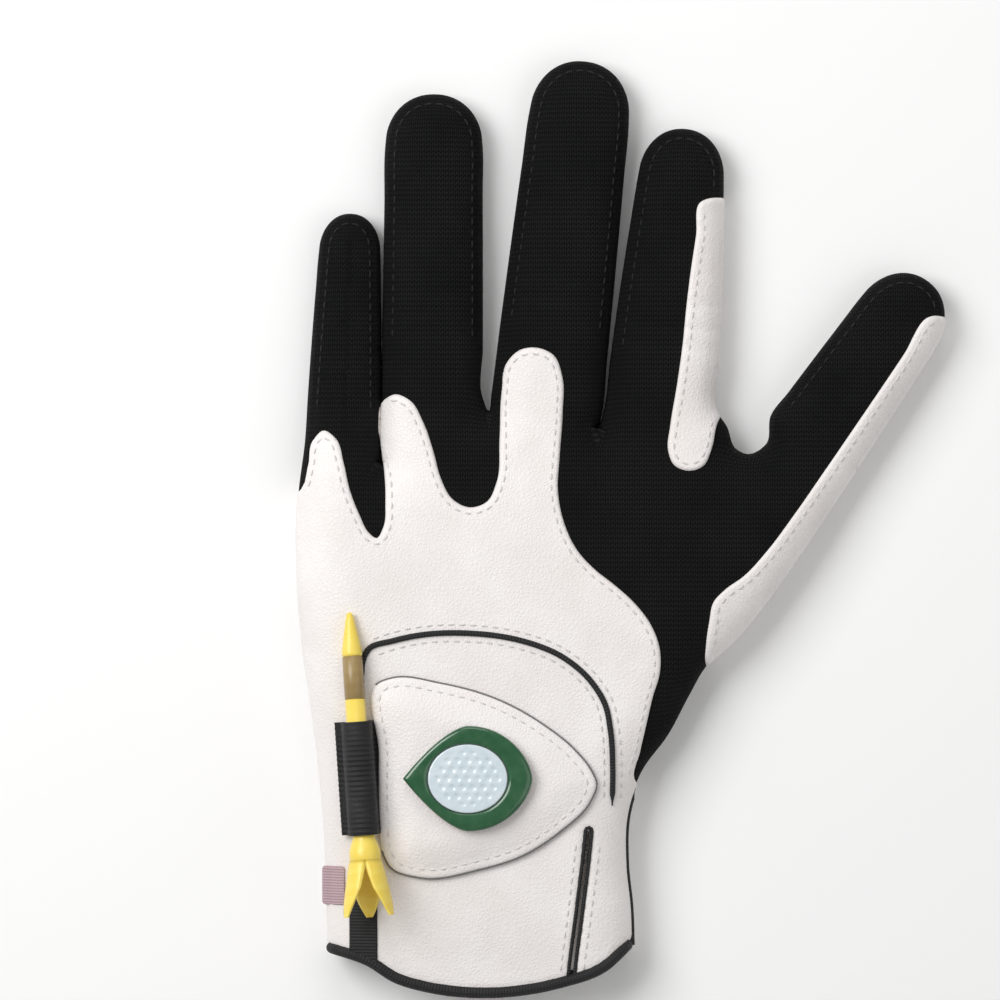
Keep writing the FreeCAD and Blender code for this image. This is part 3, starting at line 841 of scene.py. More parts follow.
def panel(name, masks, material, lift=None):
    """A panel from upper and lower triangles of the plan. lift gives the height over the bare skin."""
    many = len(plan)
    skin = np.vstack([upper_skin, lower_skin])
    skin_normal = np.vstack([upper_normal, lower_normal])
    mapping = np.vstack([flat_uv, flat_uv])
    if lift is not None:
        skin = skin + skin_normal * np.tile(lift, 2)[:, None]
    tris = []
    for mask, upper in masks:
        chosen = plan_tris[mask] if upper else plan_tris[mask][:, ::-1]
        tris.append(chosen if upper else np.where(on_rim[chosen], chosen, chosen + many))
    used, tris = np.unique(np.vstack(tris), return_inverse=True)
    tris = tris.reshape(-1, 3)
    outer, normal, uv = skin[used], skin_normal[used], mapping[used]
    if lift is not None:
        normal = unit(point_normals(outer, tris) + 1e-6 * normal)
    piece = shell(name, outer, normal, tris, KNIT, uv)
    return paint(piece, material)


def skins():
    """Every leather and knit panel of the glove's shell."""
    from_hem = nearest(plan, hem)[0]
    seam_rise = puff(plan_depth / CUT_EDGE)
    lift = LEATHER * edge_rise(plan, back_edge) * seam_rise * smoothstep((from_hem - 1.0) / 1.2)
    lift *= puff(np.abs(nearest(plan, slit)[0] - SLIT_HALF) / CUT_EDGE)
    piece = panel("back_leather", [(in_back & ~in_slit, True)], WHITE_LEATHER, lift)
    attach(piece, HAND)
    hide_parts("back_panel")

    fixed = owner < 0
    thumb_u, thumb_v = in_finger(FINGERS["thumb"], centre)
    thumb_root = (thumb_v > THUMB_ROOT_START) & (np.abs(thumb_u) < THUMB_ROOT_HALF)
    thumb_root &= centre[:, 1] < THUMB_ROOT_TOP
    x = centre[:, 0]
    islands = {
        "little": (x < FIRST_CROTCH[0]) & ~thumb_root,
        "ring": (x >= FIRST_CROTCH[0]) & (x < SECOND_CROTCH[0]) & ~thumb_root,
        "middle": (x >= SECOND_CROTCH[0]) & (x < THIRD_CROTCH[0]) & ~thumb_root,
        "index": (x >= THIRD_CROTCH[0]) & ~thumb_root,
        "thumb": thumb_root,
    }
    cad_name = {"index": "back_knit"}
    crotches = {"little_ring": FIRST_CROTCH, "ring_middle": SECOND_CROTCH, "middle_index": THIRD_CROTCH}
    at_crotch = np.zeros(len(centre), bool)
    for pair, crotch in crotches.items():
        own = in_fork & fixed & (np.linalg.norm(centre - crotch, axis=1) < CROTCH_REACH)
        at_crotch |= own
        piece = panel(f"fork_{pair}", [(own, True), (own, False)], BLACK_KNIT)
        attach(piece, HAND)
        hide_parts(f"fourchette_{pair}")
    for name, area in islands.items():
        top = dark & fixed & area & ~in_fork
        edge = in_fork & fixed & area & ~at_crotch
        piece = panel(f"{name}_root_knit", [(top | edge, True), (edge, False)], BLACK_KNIT)
        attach(piece, HAND)
        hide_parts(cad_name.get(name, f"{name}_back_lower"))

    for k, name in enumerate(FINGERS):
        mine = owner == k
        wall = mine & in_fork
        back = panel(f"{name}_knit_back", [(mine & dark & ~in_fork, True)], BLACK_KNIT)
        edge = panel(f"{name}_knit_sides", [(wall, True), (wall, False)], BLACK_KNIT)
        front = panel(f"{name}_palm_leather", [(mine & ~in_fork, False)], PALM_LEATHER)
        for piece, node in ((back, "back"), (edge, "sides"), (front, "front")):
            bend_with(piece, name)
            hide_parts(f"{name}_{node}")

    for name, area, line in (("index", in_index_panel, index_panel), ("thumb", in_thumb_panel, thumb_panel)):
        lift = LEATHER * edge_rise(plan, closed_line(line)) * seam_rise
        piece = panel(f"{name}_side_leather", [(area, True)], WHITE_LEATHER, lift)
        bend_with(piece, name)
        if name == "index":
            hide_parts("index_side_lower", "index_side_upper")

    palm = panel("palm_leather", [(fixed & ~in_fork, False)], PALM_LEATHER)
    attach(palm, HAND)
    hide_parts("palm_panel")


# ---- tubes, stitches and plates ----
def lay(line, upper=True, lift=0.0):
    """A line in the plane laid on the skin: its points and the skin's normals there."""
    def at(points):
        return surface(points, nearest(points, sides)[0], upper)

    here = at(line)
    step = 0.25
    across = at(line + (step, 0)) - here
    along = at(line + (0, step)) - here
    normal = unit(np.cross(across, along)) * (1 if upper else -1)
    return here + normal * lift, normal


def tube(name, points, normal, width, height, closed=False, around=12):
    """A tube of oval section: width along the skin, height off it. Both are half sizes, numbers or lists."""
    count = len(points)
    if closed:
        ahead = np.roll(points, -1, axis=0) - np.roll(points, 1, axis=0)
    else:
        ahead = np.gradient(points, axis=0)
    ahead = unit(ahead)
    side = unit(np.cross(ahead, normal))
    up = np.cross(side, ahead)
    wide = np.broadcast_to(width, count)[:, None, None]
    high = np.broadcast_to(height, count)[:, None, None]
    turn = np.linspace(0, math.tau, around, endpoint=False)
    cos, sin = np.cos(turn)[None, :, None], np.sin(turn)[None, :, None]
    verts = (points[:, None] + (cos * wide * side[:, None] + sin * high * up[:, None])).reshape(-1, 3)
    faces = ring_faces(count, around, closed)
    if not closed:
        faces.append(tuple(range(around))[::-1])
        faces.append(tuple((count - 1) * around + k for k in range(around)))
    run = np.concatenate([[0], np.cumsum(np.linalg.norm(np.diff(points, axis=0), axis=1))])
    girth = float(np.mean(width) + np.mean(height)) * 0.5
    uv = np.stack(np.broadcast_arrays(turn[None, :] * girth, run[:, None]), axis=2).reshape(-1, 2)
    return make_mesh(name, verts, faces, uv)


STITCH_LENGTH = 1.75
STITCH_STEP = 2.55
THREAD = 0.2


def stitches(name, rows, material):
    """Short stitches along each row of points, half sunk into the skin."""
    along = np.array([-1.0, -0.8, -0.35, 0.35, 0.8, 1.0])
    swell = np.array([0.25, 0.8, 1.0, 1.0, 0.8, 0.25])
    sink = np.array([-0.9, -0.2, 0.35, 0.35, -0.2, -0.9])
    turn = np.linspace(0, math.tau, 7, endpoint=False)
    verts, faces, uv = [], [], []
    for points, normal in rows:
        both = even(np.hstack([points, normal]), STITCH_STEP)
        points, normal = both[:, :3], unit(both[:, 3:])
        ahead = unit(np.gradient(points, axis=0))
        for p, up, way in zip(points[1:-1], normal[1:-1], ahead[1:-1]):
            side = np.cross(way, up)
            first = len(verts)
            for t, r, h in zip(along, swell, sink):
                middle = p + way * t * STITCH_LENGTH / 2 + up * h * THREAD
                for k, a in enumerate(turn):
                    verts.append(middle + (side * math.cos(a) + up * math.sin(a)) * THREAD * r)
                    uv.append((k * 0.2, t))
            ring = len(turn)
            faces += ring_faces(len(along), ring, first=first)
            faces.append(tuple(first + k for k in range(ring))[::-1])
            last = first + (len(along) - 1) * ring
            faces.append(tuple(last + k for k in range(ring)))
    return paint(make_mesh(name, np.array(verts), faces, np.array(uv)), material)


def plate(name, loop, top_at, low_at, step=1.2, edge=(0.0, 0.12, 0.35, 0.75, 1.3)):
    """A closed flat piece. Both heights are given from the points and their distance to the edge."""
    grid = spread(loop, step)
    grid = grid[edge_gap(grid, loop) > edge[-1] + 0.4 * step]
    inward = inward_normals(loop)
    rings = np.vstack([loop + inward * d for d in edge[1:]])
    rings = rings[edge_gap(rings, loop) > 0.08]
    count = len(loop)
    edges = [(i, (i + 1) % count) for i in range(count)]
    points, tris = triangles(np.vstack([loop, rings, grid]), edges, 1)
    b = edge_gap(points, loop)
    on_edge = b < 1e-3
    top = np.column_stack([points, top_at(points, b)])
    bottom = np.column_stack([points, low_at(points, b)])
    bottom[on_edge] = top[on_edge]
    n = len(points)
    mirror = np.where(on_edge, np.arange(n), np.arange(n) + n)
    faces = np.vstack([tris, mirror[tris[:, ::-1]]])
    verts = np.vstack([top, bottom])
    used = np.unique(faces)
    place_in = np.full(2 * n, -1)
    place_in[used] = np.arange(len(used))
    return make_mesh(name, verts[used], place_in[faces].tolist())


def box_loop(x0, y0, x1, y1, corner, step=0.6):
    """A rectangle with rounded corners."""
    quarter = np.linspace(0, 90, 6)
    points = []
    for cx, cy, start in ((x1, y1, 0), (x0, y1, 90), (x0, y0, 180), (x1, y0, 270)):
        mx = cx - corner if cx == x1 else cx + corner
        my = cy - corner if cy == y1 else cy + corner
        turn = np.radians(quarter + start)
        points += list(zip(mx + corner * np.cos(turn), my + corner * np.sin(turn)))
    return even(np.array(points), step, closed=True)


def skin_height(points, upper=True):
    """Height of the bare skin over the plane at each point."""
    return surface(points, nearest(points, sides)[0], upper)[:, 2]


def node_box(node):
    """Lowest and highest corner of a CAD node, in millimetres."""
    low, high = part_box(node)
    return np.array(low) / MM, np.array(high) / MM


def rides(piece, body, *nodes):
    """The piece moves with the body, and stands for the CAD nodes."""
    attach(piece, body)
    if nodes:
        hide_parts(*nodes)
    return piece


# ---- edges: hem, slit, side and piping ----
HEM_TAPE = 1.35
HEM_TAPE_UNDER = 0.75  # half the tape's thickness under the glove
PIPING = [
    (-26.6, 4.2), (-27.0, 8.2), (-25.6, 11.8), (-20.0, 13.7), (-13.8, 15.0), (-2.0, 15.4), (9.2, 13.8),
    (18.6, 10.2), (25.3, 4.6), (28.8, -1.2), (29.9, -6.9), (30.2, -15.0), (29.9, -24.0),
]


def trims():
    """The tapes round the hem and the slit, and the cords at the wrist's side and over the tab."""
    inward = hem - side_normals(hem) * HEM_TAPE * 0.62
    up_points, up_normal = lay(inward[1:-1], True, 0.1)
    low_points, low_normal = lay(inward[1:-1][::-1], False, FLOOR_GAP - HEM_TAPE_UNDER)
    ring = np.vstack([up_points, low_points])
    normals = np.vstack([up_normal, low_normal])
    for _ in range(3):
        normals = unit(normals + np.roll(normals, 1, axis=0) + np.roll(normals, -1, axis=0))
    heights = np.repeat([HEM_TAPE, HEM_TAPE_UNDER], [len(up_points), len(low_points)])
    hem_tape = tube("hem_binding", ring, normals, HEM_TAPE, heights, closed=True, around=14)
    rides(paint(hem_tape, BLACK_BINDING), HAND, "cuff_binding")

    beside = side_normals(slit) * (SLIT_HALF + 0.3)
    round_top = slit[0] + np.array([(0.7, 0.3), (0.4, 0.85), (-0.4, 0.85), (-0.7, 0.3)])
    path = np.vstack([(slit + beside)[::-1], round_top, slit - beside])
    path = path[path[:, 1] > SLIT_TAPE_END]
    points, normal = lay(even(path, 0.7), True, LEATHER * 0.75)
    slit_tape = tube("slit_edge_binding", points, normal, 0.44, 0.5)
    rides(paint(slit_tape, BLACK_BINDING), HAND, "slit_binding")

    wrist_side = sides[(sides[:, 0] > 0) & (sides[:, 1] < -19.4)]
    points, normal = lay(wrist_side + (-0.25, 0.0), True, 0.2)
    growing = np.clip(np.arange(len(points)) / 3.0, 0.4, 1)
    cord = tube("wrist_side_piping", points, normal, 0.75 * growing, 0.8 * growing)
    rides(paint(cord, BLACK_BINDING), HAND)

    piping = smooth(PIPING, 0.7)
    points, normal = lay(piping, True, LEATHER + 0.25)
    from_start = np.arange(len(points))
    ends = np.clip(np.minimum(from_start, from_start[::-1]) / 4.0, 0.25, 1)
    bead = tube("back_piping_bead", points, normal, 0.66 * ends, 0.6 * ends)
    rides(paint(bead, BLACK_BINDING), HAND, "back_piping")


def seams():
    """Rows of stitches on the back, on the side panels and on the palm side."""
    def inset_rows(line, way, panel_loop):
        row = line + way * side_normals(line) * PANEL_STITCH
        row = row[inside(row, panel_loop) & inside(row, outline) & (nearest(row, sides)[0] > PANEL_STITCH)]
        return [lay(run, True, LEATHER) for run in unbroken(row, 12)]

    rows = inset_rows(back_edge, -1, back_loop)
    piping = smooth(PIPING[2:], 0.7)
    for side in (-1, 1):
        rows.append(lay(piping + side_normals(piping) * side * PIPING_STITCH, True, LEATHER))
    for side in (-1, 1):
        line = slit + side_normals(slit) * side * SLIT_STITCH
        rows.append(lay(line[(line[:, 1] > -64) & (line[:, 1] < -31)], True, LEATHER))
    rides(stitches("back_stitching", rows, WHITE_THREAD), HAND)

    for name, line in (("index", index_panel), ("thumb", thumb_panel)):
        rows = inset_rows(closed_line(line), 1, line)
        bend_with(stitches(f"{name}_side_stitching", rows, WHITE_THREAD), name)

    for name, f in FINGERS.items():
        line = sides - side_normals(sides) * (FORK + FINGER_STITCH)
        u, v = in_finger(f, line)
        mine = (v > f["knuckle"] - BEND_HALF + 1) & (np.abs(u) < half_width(f, v) + 0.5) & (v < f["length"])
        mine &= owner_of(line) == list(FINGERS).index(name)
        row = line[mine]
        under = [lay(run, False, 0.0) for run in unbroken(row, 8)]
        bend_with(stitches(f"{name}_palm_stitching", under, WHITE_THREAD), name)
        bare = ~(inside(row, back_loop) | inside(row, index_panel) | inside(row, thumb_panel))
        over = [lay(run, True, 0.0) for run in unbroken(row[bare], 8)]
        bend_with(stitches(f"{name}_back_stitching", over, BLACK_THREAD), name)

    rows = []
    for line in PALM_SEAMS:
        seam = smooth(line, 0.8)
        rows += [lay(seam + side_normals(seam) * side * PALM_STITCH, False, 0.0) for side in (-1, 1)]
    rides(stitches("palm_stitching", rows, WHITE_THREAD), HAND)


# ---- closure tab, with its patches ----
TAB_LOW = 17.95
TAB_TOP = 19.45
TAB_HALF = 0.72  # half the tab's thickness
TAB_BEND = (-2.4, 2.2)  # stretch round the joint at the tab's root, measured from the joint; the points made from it are not used
PATCH_CORNER = 3.0
PATCH_INSET = 2.6  # from the tab's edge
LEAF = [
    (-23.0, -28.0), (-22.6, -33.4), (-20.4, -38.2), (-13.8, -40.5), (0.0, -38.6), (9.2, -35.7), (18.4, -29.9),
    (25.3, -23.0), (26.7, -18.9), (25.8, -16.6), (21.9, -11.5), (14.9, -5.8), (4.6, 0.0), (-9.2, 4.0),
    (-20.0, 5.2), (-23.0, 4.2), (-23.2, -12.0),
]


def closure():
    """The leaf-shaped tab with its edge cord and stitches, and the hook and loop patches under it."""
    leaf = smooth(LEAF, 0.8, closed=True)

    def middle(points, b):
        down = skin_height(points) + LEATHER + 0.75
        up = 0.5 * (TAB_LOW + TAB_TOP)
        return down + (up - down) * smoothstep(b / 9.0)

    def top(points, b):
        ripple = 0.10 * soft_noise(points, 9.0, 21.0) * smoothstep(b / 4)
        channel = 0.16 * np.exp(-(((b - 2.0) / 0.7) ** 2))
        return middle(points, b) + TAB_HALF * puff(b / 1.3) - channel + ripple

    def low(points, b):
        return middle(points, b) - TAB_HALF * puff(b / 1.3)

    def on_top(points):
        return np.column_stack([points, top(points, edge_gap(points, leaf))])

    tab = paint(plate("closure_leaf", leaf, top, low), TAB_LEATHER)
    joint = joint_of["tab_peel"]["pos_m"]
    start, end = ((joint[0] + d * MM, joint[1], joint[2]) for d in TAB_BEND)
    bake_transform(tab)
    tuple(start)
    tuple(end)
    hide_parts("closure_tab", "tab_root")

    inner = even(plate_row(leaf, 2.0), 0.8)
    points = on_top(inner)
    step = 0.3
    normal = unit(np.cross(on_top(inner + (step, 0)) - points, on_top(inner + (0, step)) - points))
    rim = np.column_stack([leaf, top(leaf, np.zeros(len(leaf)))])
    at_root = int(np.argmin(np.abs(leaf[:, 1] + 12.0) + (leaf[:, 0] > -20) * FAR))
    rim = np.roll(rim, -at_root, axis=0)
    rim = rim[(rim[:, 0] > -22.4) | (rim[:, 1] > 3.0)]
    rim_up = np.tile((0.0, 0.0, 1.0), (len(rim), 1))
    edge_cord = paint(tube("closure_edge_cord", rim, rim_up, 0.3, 0.34, around=8), GREY_EDGE)
    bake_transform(edge_cord)
    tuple(start)
    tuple(end)
    edge_row = stitches("closure_stitching", [(points, normal)], WHITE_THREAD)
    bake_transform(edge_row)
    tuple(start)
    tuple(end)

    for name, node, body, material in (
        ("hook_side", "hook_patch", "tab", HOOK_TAPE), ("loop_side", "loop_patch", HAND, LOOP_TAPE),
    ):
        low_corner, high_corner = node_box(node)
        patch = clip_to(box_loop(*low_corner[:2], *high_corner[:2], PATCH_CORNER), leaf, PATCH_INSET)
        bottom, roof = low_corner[2] + 0.02, high_corner[2] - 0.02
        round_top, round_low = (0.3, 0.0) if body == HAND else (0.0, 0.3)
        piece = plate(
            name, patch,
            lambda p, b: roof - round_top * (1 - puff(b / 0.5)),
            lambda p, b: bottom + round_low * (1 - puff(b / 0.5)),
        )
        rides(paint(piece, material), body, node)


def plate_row(loop, inset):
    """A closed loop moved inwards."""
    moved = loop + inward_normals(loop) * inset
    return moved[edge_gap(moved, loop) > inset - 0.05]


def clip_to(loop, border, inset):
    """The loop with its points drawn towards its middle until they lie inside the border."""
    limit = plate_row(border, inset)
    middle = loop.mean(0)
    out = []
    for p in loop:
        shares = np.linspace(1, 0.3, 60)[:, None]
        trial = middle + (p - middle) * shares
        good = inside(trial, limit)
        out.append(trial[np.argmax(good)])
    return even(np.array(out), 0.6, closed=True)


# ---- ball marker ----
MARKER_SHAPE = 96  # points round the marker
DIMPLE_PITCH = 2.35
DIMPLE_RADIUS = 0.86
DIMPLE_DEPTH = 0.25


def marker_outline():
    """Lemon: a pointed left end and a rounder right one."""
    low, high = node_box("marker_rim")
    middle, half = (low + high)[:2] / 2, (high - low)[:2] / 2
    turn = np.linspace(0, math.tau, MARKER_SHAPE, endpoint=False)
    x = np.cos(turn)
    u = np.abs(x)
    left = 1 - u**1.55
    right = np.maximum(1 - u**2.1, 0) ** 0.62
    y = np.where(x < 0, left, right) * np.sign(np.sin(turn) + 1e-12)
    return middle + np.column_stack([x, y]) * half


def marker_oval(scale):
    low, high = node_box("marker_face")
    middle, half = (low + high)[:2] / 2, (high - low)[:2] / 2
    turn = np.linspace(0, math.tau, MARKER_SHAPE, endpoint=False)
    return middle + np.column_stack([np.cos(turn) * half[0] * scale, np.sin(turn) * half[1] * scale])


def marker():
    """The green enamelled rim on its steel base, and the pale face with its dimples."""
    low, high = node_box("marker_rim")
    face_low, face_high = node_box("marker_face")
    floor, roof = low[2], high[2]
    outer, inner = marker_outline(), marker_oval(1.01)
    section = [
        (0.045, floor), (0.0, floor + 0.15), (0.0, floor + 1.25), (0.02, roof - 0.62), (0.07, roof - 0.3),
        (0.2, roof - 0.06), (0.45, roof), (0.8, roof - 0.04), (0.93, roof - 0.14), (1.0, roof - 0.34),
        (1.0, face_low[2] + 0.05), (0.98, floor),
    ]
    verts = []
    for share, z in section:
        verts += [(x, y, z) for x, y in outer + (inner - outer) * share]
    faces = ring_faces(len(section), MARKER_SHAPE, closed=True)
    metal = np.repeat([i < 2 or i > 8 for i in range(len(section))], MARKER_SHAPE)
    rim = make_mesh("marker_enamel_rim", np.array(verts), faces)
    paint(rim, GREEN_ENAMEL)
    rim.data.materials.append(STEEL)
    rim.data.polygons.foreach_set("material_index", metal.astype(int))
    rides(rim, "marker", "marker_rim")

    base = face_low[2] + 0.02
    top = face_high[2] - 0.22
    middle = ((face_low + face_high) / 2)[:2]

    def dimpled(points, b):
        row = np.round((points[:, 1] - middle[1]) / (DIMPLE_PITCH * ROW_SHARE))
        dy = points[:, 1] - middle[1] - row * DIMPLE_PITCH * ROW_SHARE
        dx = (points[:, 0] - middle[0] - row * DIMPLE_PITCH / 2) / DIMPLE_PITCH
        dx = (dx - np.round(dx)) * DIMPLE_PITCH
        dent = np.clip(1 - (dx**2 + dy**2) / DIMPLE_RADIUS**2, 0, 1) * smoothstep((b - 1.2) / 0.8)
        return top + 0.14 * puff(b / 0.6) + 0.1 * smoothstep(b / 8) - DIMPLE_DEPTH * dent

    face = plate(
        "marker_dimpled_face", marker_oval(0.985), dimpled, lambda p, b: base + 0 * b,
        step=0.3, edge=(0, 0.12, 0.35, 0.7),
    )
    rides(paint(face, WHITE_ENAMEL), "marker", "marker_face")


# ---- tee, loop, strip and tag ----
TEE_LENGTH = 70.0
TEE_RADIUS = 2.3
COLLAR_RADIUS = 3.6
CUP_RADIUS = 6.2
CUP_START = 57.0
PRONGS = 3
BAND = (10.0, 20.0)  # the tan band, from the tee's point
LOOP_START = 25.0  # the elastic loop's place on the tee, and its length
LOOP_LENGTH = 26.0
LOOP_GROUND = 16.05  # height of the back under the loop's feet
tee_axis = np.array(joint_of["tee_pull"]["axis"])
tee_side = unit(np.cross(tee_axis, (0.0, 0.0, 1.0)))
tee_up = np.cross(tee_side, tee_axis)
tee_tip = sum(node_box("tee_band")) / 2 - tee_axis * sum(BAND) / 2


def on_tee(radius, turn, along):
    return tee_tip + tee_axis * along + (tee_side * math.cos(turn) + tee_up * math.sin(turn)) * radius


def turned(section, around=40):
    """A closed turned body round the tee's axis from (radius, length) points."""
    verts = []
    turns = np.linspace(0, math.tau, around, endpoint=False)
    for radius, along in section:
        verts += [on_tee(max(radius, 0.001), t, along) for t in turns]
    faces = turned_over(ring_faces(len(section), around))
    faces.append(tuple(range(around)))
    faces.append(tuple((len(section) - 1) * around + k for k in range(around))[::-1])
    uv = [(along * 0.3, radius) for radius, along in section for _ in turns]
    return verts, faces, uv


def prong(index, first):
    """One petal of the cup: wide and joined at the collar, pointed at its end."""
    verts, faces = [], []
    steps, across = 12, 9
    middle = math.tau * (index + 0.25) / PRONGS
    for layer in (0.0, 1.0):
        narrower = 1.0 - 0.10 * layer
        for i in range(steps + 1):
            h = i / steps
            half = math.pi / PRONGS * (1.02 - 0.34 * smoothstep(h * 1.5) - 0.56 * max(h - 0.52, 0) / 0.48)
            radius = COLLAR_RADIUS + (CUP_RADIUS - COLLAR_RADIUS) * h**0.85 - layer * (0.55 + 0.75 * (1 - h))
            length = CUP_START + h * (TEE_LENGTH - CUP_START) - 0.3
            for k in range(across):
                turn = half * (2 * k / (across - 1) - 1)
                verts.append(on_tee(radius, middle + turn * narrower, length))
    sheet = (steps + 1) * across
    for i in range(steps):
        for k in range(across - 1):
            a = first + i * across + k
            faces.append((a, a + across, a + across + 1, a + 1))
            faces.append(tuple(v + sheet for v in (a + 1, a + across + 1, a + across, a)))
        for k, flip in ((0, False), (across - 1, True)):
            a = first + i * across + k
            quad = (a, a + sheet, a + across + sheet, a + across)
            faces.append(quad[::-1] if flip else quad)
    for i, flip in ((0, True), (steps, False)):
        for k in range(across - 1):
            a = first + i * across + k
            quad = (a, a + sheet, a + sheet + 1, a + 1)
            faces.append(quad if flip else quad[::-1])
    return verts, faces


def tee():
    """The yellow tee, with a shallow seat for the tan band and three petals for its cup."""
    start, end = BAND
    seat = TEE_RADIUS - 0.2
    stem = [
        (0.0, -0.1), (0.35, 0.0), (0.7, 0.35), (1.05, 2.0), (1.75, 5.6), (2.2, 8.2), (TEE_RADIUS, 9.4),
        (TEE_RADIUS, start - 0.05), (seat, start + 0.02), (seat, end - 0.02), (TEE_RADIUS, end + 0.05),
        (TEE_RADIUS, 50.0), (2.5, 51.5), (3.1, 53.2), (3.55, 54.6), (COLLAR_RADIUS, 55.4),
        (COLLAR_RADIUS, 57.2), (3.2, 57.9), (2.0, 58.6), (0.0, 58.7),
    ]
    verts, faces, uv = turned(stem)
    for i in range(PRONGS):
        more, quads = prong(i, len(verts))
        verts += more
        faces += quads
        uv += [(k * 0.1, k * 0.07) for k in range(len(more))]
    piece = make_mesh("tee_body", np.array(verts), faces, np.array(uv))
    rides(paint(piece, YELLOW_PLASTIC), "tee", "golf_tee")

    verts, faces, uv = turned([
        (seat + 0.01, start + 0.05), (TEE_RADIUS + 0.01, start + 0.2), (TEE_RADIUS + 0.03, (start + end) / 2),
        (TEE_RADIUS + 0.01, end - 0.2), (seat + 0.01, end - 0.05),
    ])
    piece = make_mesh("tee_tan_band", np.array(verts), faces, np.array(uv))
    rides(paint(piece, TAN_BAND), "tee", "tee_band")


def tee_holder():
    """Ribbed elastic, arched over the shaft, with flat feet sewn to the back."""
    arch, foot, thick = 3.45, 5.1, 0.8
    rows, rows_in_rib = 132, 6
    turn = np.linspace(math.pi, 0, 15)
    side = unit(np.array([-tee_axis[1], tee_axis[0], 0.0]))
    verts, uv = [], []
    for i in range(rows + 1):
        along = LOOP_START + LOOP_LENGTH * i / rows
        core = tee_tip + tee_axis * along
        rib = 0.10 * math.sin(math.tau * i / rows_in_rib)
        height = core[2] - LOOP_GROUND
        outer = [(-foot, 0.75), (-foot + 0.9, 0.95), (-arch - 0.35, 1.5), (-arch - 0.08, 2.6)]
        outer += [(arch * math.cos(t), height + arch * math.sin(t)) for t in turn]
        outer += [(-x, z) for x, z in outer[3::-1]]
        inner = [(-foot, 0.05), (-foot + 0.9, 0.05), (-arch + 0.35, 0.3), (-arch + thick, 1.9)]
        inner += [((arch - thick) * math.cos(t), height + (arch - thick) * math.sin(t)) for t in turn]
        inner += [(-x, z) for x, z in inner[3::-1]]
        lift = [(x * (1 + rib / 8), z + rib * (0.3 + z / 9)) for x, z in outer]
        ring = lift + inner[::-1]
        run = 0.0
        for k, (x, z) in enumerate(ring):
            verts.append((core[0] + side[0] * x, core[1] + side[1] * x, LOOP_GROUND + z))
            run += 0 if k == 0 else math.hypot(x - ring[k - 1][0], z - ring[k - 1][1])
            uv.append((run, along))
    count = len(ring)
    faces = turned_over(ring_faces(rows + 1, count))
    half = count // 2
    for base, flip in ((0, False), (rows * count, True)):
        for k in range(half - 1):
            quad = (base + k, base + k + 1, base + count - 2 - k, base + count - 1 - k)
            faces.append(quad[::-1] if flip else quad)
    piece = make_mesh("tee_elastic_loop", np.array(verts), faces, np.array(uv))
    rides(paint(piece, BLACK_ELASTIC), HAND, "tee_loop")


TAG_EDGE = -34.4  # beyond this the tag turns down over the glove's side


def tapes():
    """The ribbon below the tee, the bare side tag and the elastic inside the wrist."""
    low, high = node_box("tee_strip")
    corners = [(high[0], high[1] + 1.2), (low[0], high[1] + 1.2), (low[0], -57.4), (high[0], -61.0)]
    loop = even(np.array(corners), 0.6, closed=True)
    ribbon = plate(
        "tee_ribbon", loop,
        lambda p, b: skin_height(p) + LEATHER + 0.55 * puff(b / 0.4),
        lambda p, b: skin_height(p) + LEATHER * 0.5 + 0 * b,
        step=0.8,
    )
    rides(paint(ribbon, BLACK_BINDING), HAND, "tee_strip")

    low, high = node_box("side_tag")
    loop = box_loop(low[0] - 0.3, low[1], high[0], high[1], 0.7)

    def over_edge(p):
        clipped = p.copy()
        clipped[:, 0] = np.maximum(p[:, 0], TAG_EDGE)
        return skin_height(clipped) - 0.5 * np.maximum(TAG_EDGE - p[:, 0], 0.0) ** 1.5

    tag = plate(
        "woven_tag", loop,
        lambda p, b: over_edge(p) + LEATHER + 0.35 + 0.3 * puff(b / 0.35),
        lambda p, b: over_edge(p) + LEATHER * 0.6 + 0 * b,
        step=0.7, edge=(0, 0.12, 0.35, 0.7),
    )
    rides(paint(tag, MAUVE_TAPE), HAND, "side_tag")

    low, high = node_box("wrist_elastic")
    loop = box_loop(low[0], low[1], high[0], high[1], 0.6)

    def ribbed(p, b):
        return skin_height(p, False) + 1.35 + 0.22 * np.sin(p[:, 0] * math.tau / 2.2) * smoothstep(b / 1.5)

    band = plate(
        "wrist_gather_elastic", loop, ribbed, lambda p, b: skin_height(p, False) + 0.75 + 0 * b, step=0.55,
    )
    rides(paint(band, WHITE_ELASTIC), HAND, "wrist_elastic")


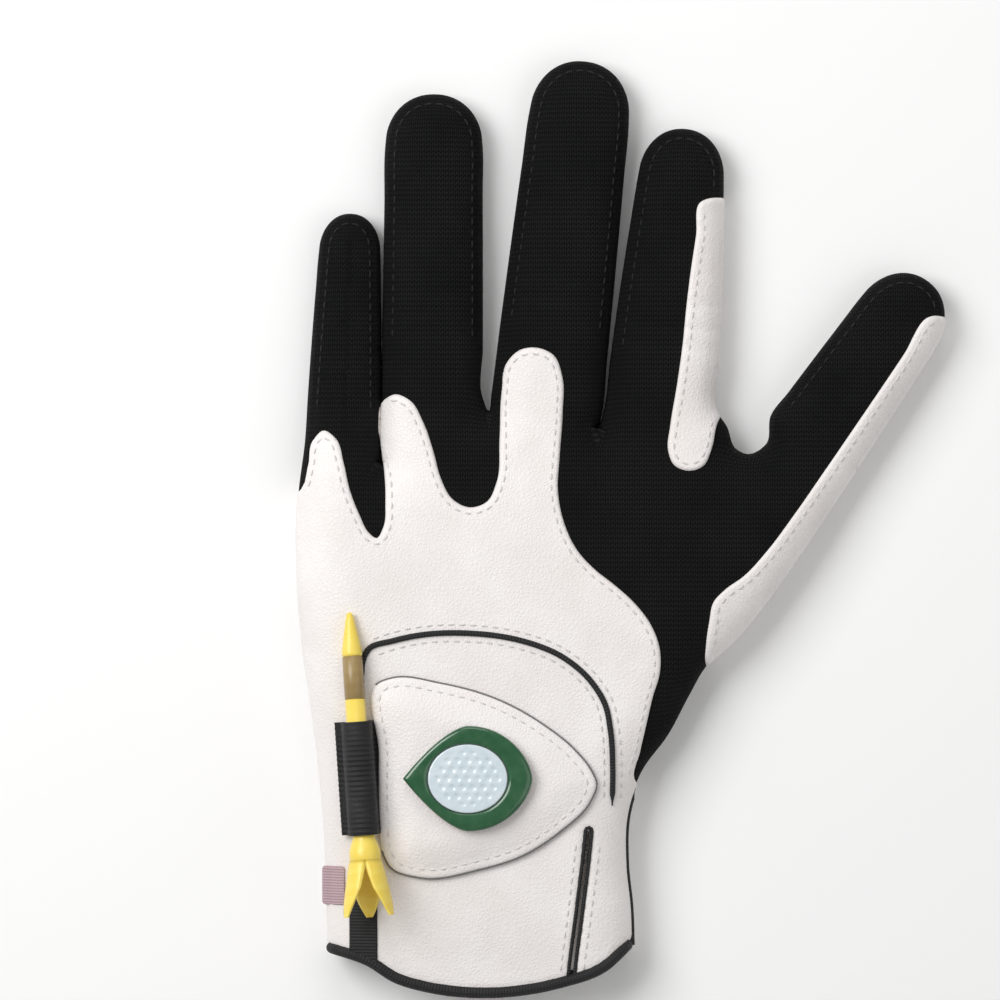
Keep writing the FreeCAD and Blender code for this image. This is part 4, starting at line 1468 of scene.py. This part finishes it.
for make in (skins, trims, seams, closure, marker, tee, tee_holder, tapes):
    make()
for node in ("marker_holder", "marker_magnet"):
    frame["nodes"][node].data.materials.clear()
    frame["nodes"][node].data.materials.append(STEEL)


# ---- camera, light and floor ----
CAMERA_PLACE = (0.0046, 0.046, 1.92)
CAMERA_LENS = 299
FLOOR_HALF = 3.0
WORLD_LIGHT = 0.36
LIGHTS = [  # name, place, size, power
    ("soft key", (-0.55, 0.35, 0.75), 0.6, 6.6),
    ("fill", (0.6, -0.1, 0.7), 0.7, 1.1),
    ("edge", (0.0, 0.75, 0.5), 0.5, 1.3),
]


def studio():
    """A long lens straight above the glove, with soft light from its left."""
    scene = bpy.context.scene
    scene.view_settings.view_transform = "Standard"
    camera = bpy.data.objects.new("camera", bpy.data.cameras.new("camera"))
    camera.location = CAMERA_PLACE
    camera.data.lens = CAMERA_LENS
    camera.data.clip_start = 0.01
    scene.collection.objects.link(camera)
    scene.camera = camera

    floor_mesh = bpy.data.meshes.new("floor")
    r = FLOOR_HALF
    floor_mesh.from_pydata([(-r, -r, 0), (r, -r, 0), (r, r, 0), (-r, r, 0)], [], [(0, 1, 2, 3)])
    floor = bpy.data.objects.new("floor", floor_mesh)
    scene.collection.objects.link(floor)
    material = bpy.data.materials.new("pale floor")
    material.use_nodes = True
    shader = material.node_tree.nodes["Principled BSDF"]
    shader.inputs["Base Color"].default_value = (0.97, 0.97, 0.97, 1)
    shader.inputs["Roughness"].default_value = 0.9
    shader.inputs["Specular IOR Level"].default_value = 0.1
    floor_mesh.materials.append(material)

    world = bpy.data.worlds.new("studio")
    world.use_nodes = True
    world.node_tree.nodes["Background"].inputs["Color"].default_value = (1.0, 0.995, 0.985, 1)
    world.node_tree.nodes["Background"].inputs["Strength"].default_value = WORLD_LIGHT
    scene.world = world
    for name, place_at, size, power in LIGHTS:
        lamp = bpy.data.lights.new(name, "AREA")
        lamp.size = size
        lamp.energy = power
        light = bpy.data.objects.new(name, lamp)
        light.location = place_at
        toward = Vector((0.02, 0.04, 0.0)) - Vector(place_at)
        light.rotation_euler = toward.to_track_quat("-Z", "Y").to_euler()
        scene.collection.objects.link(light)


studio()
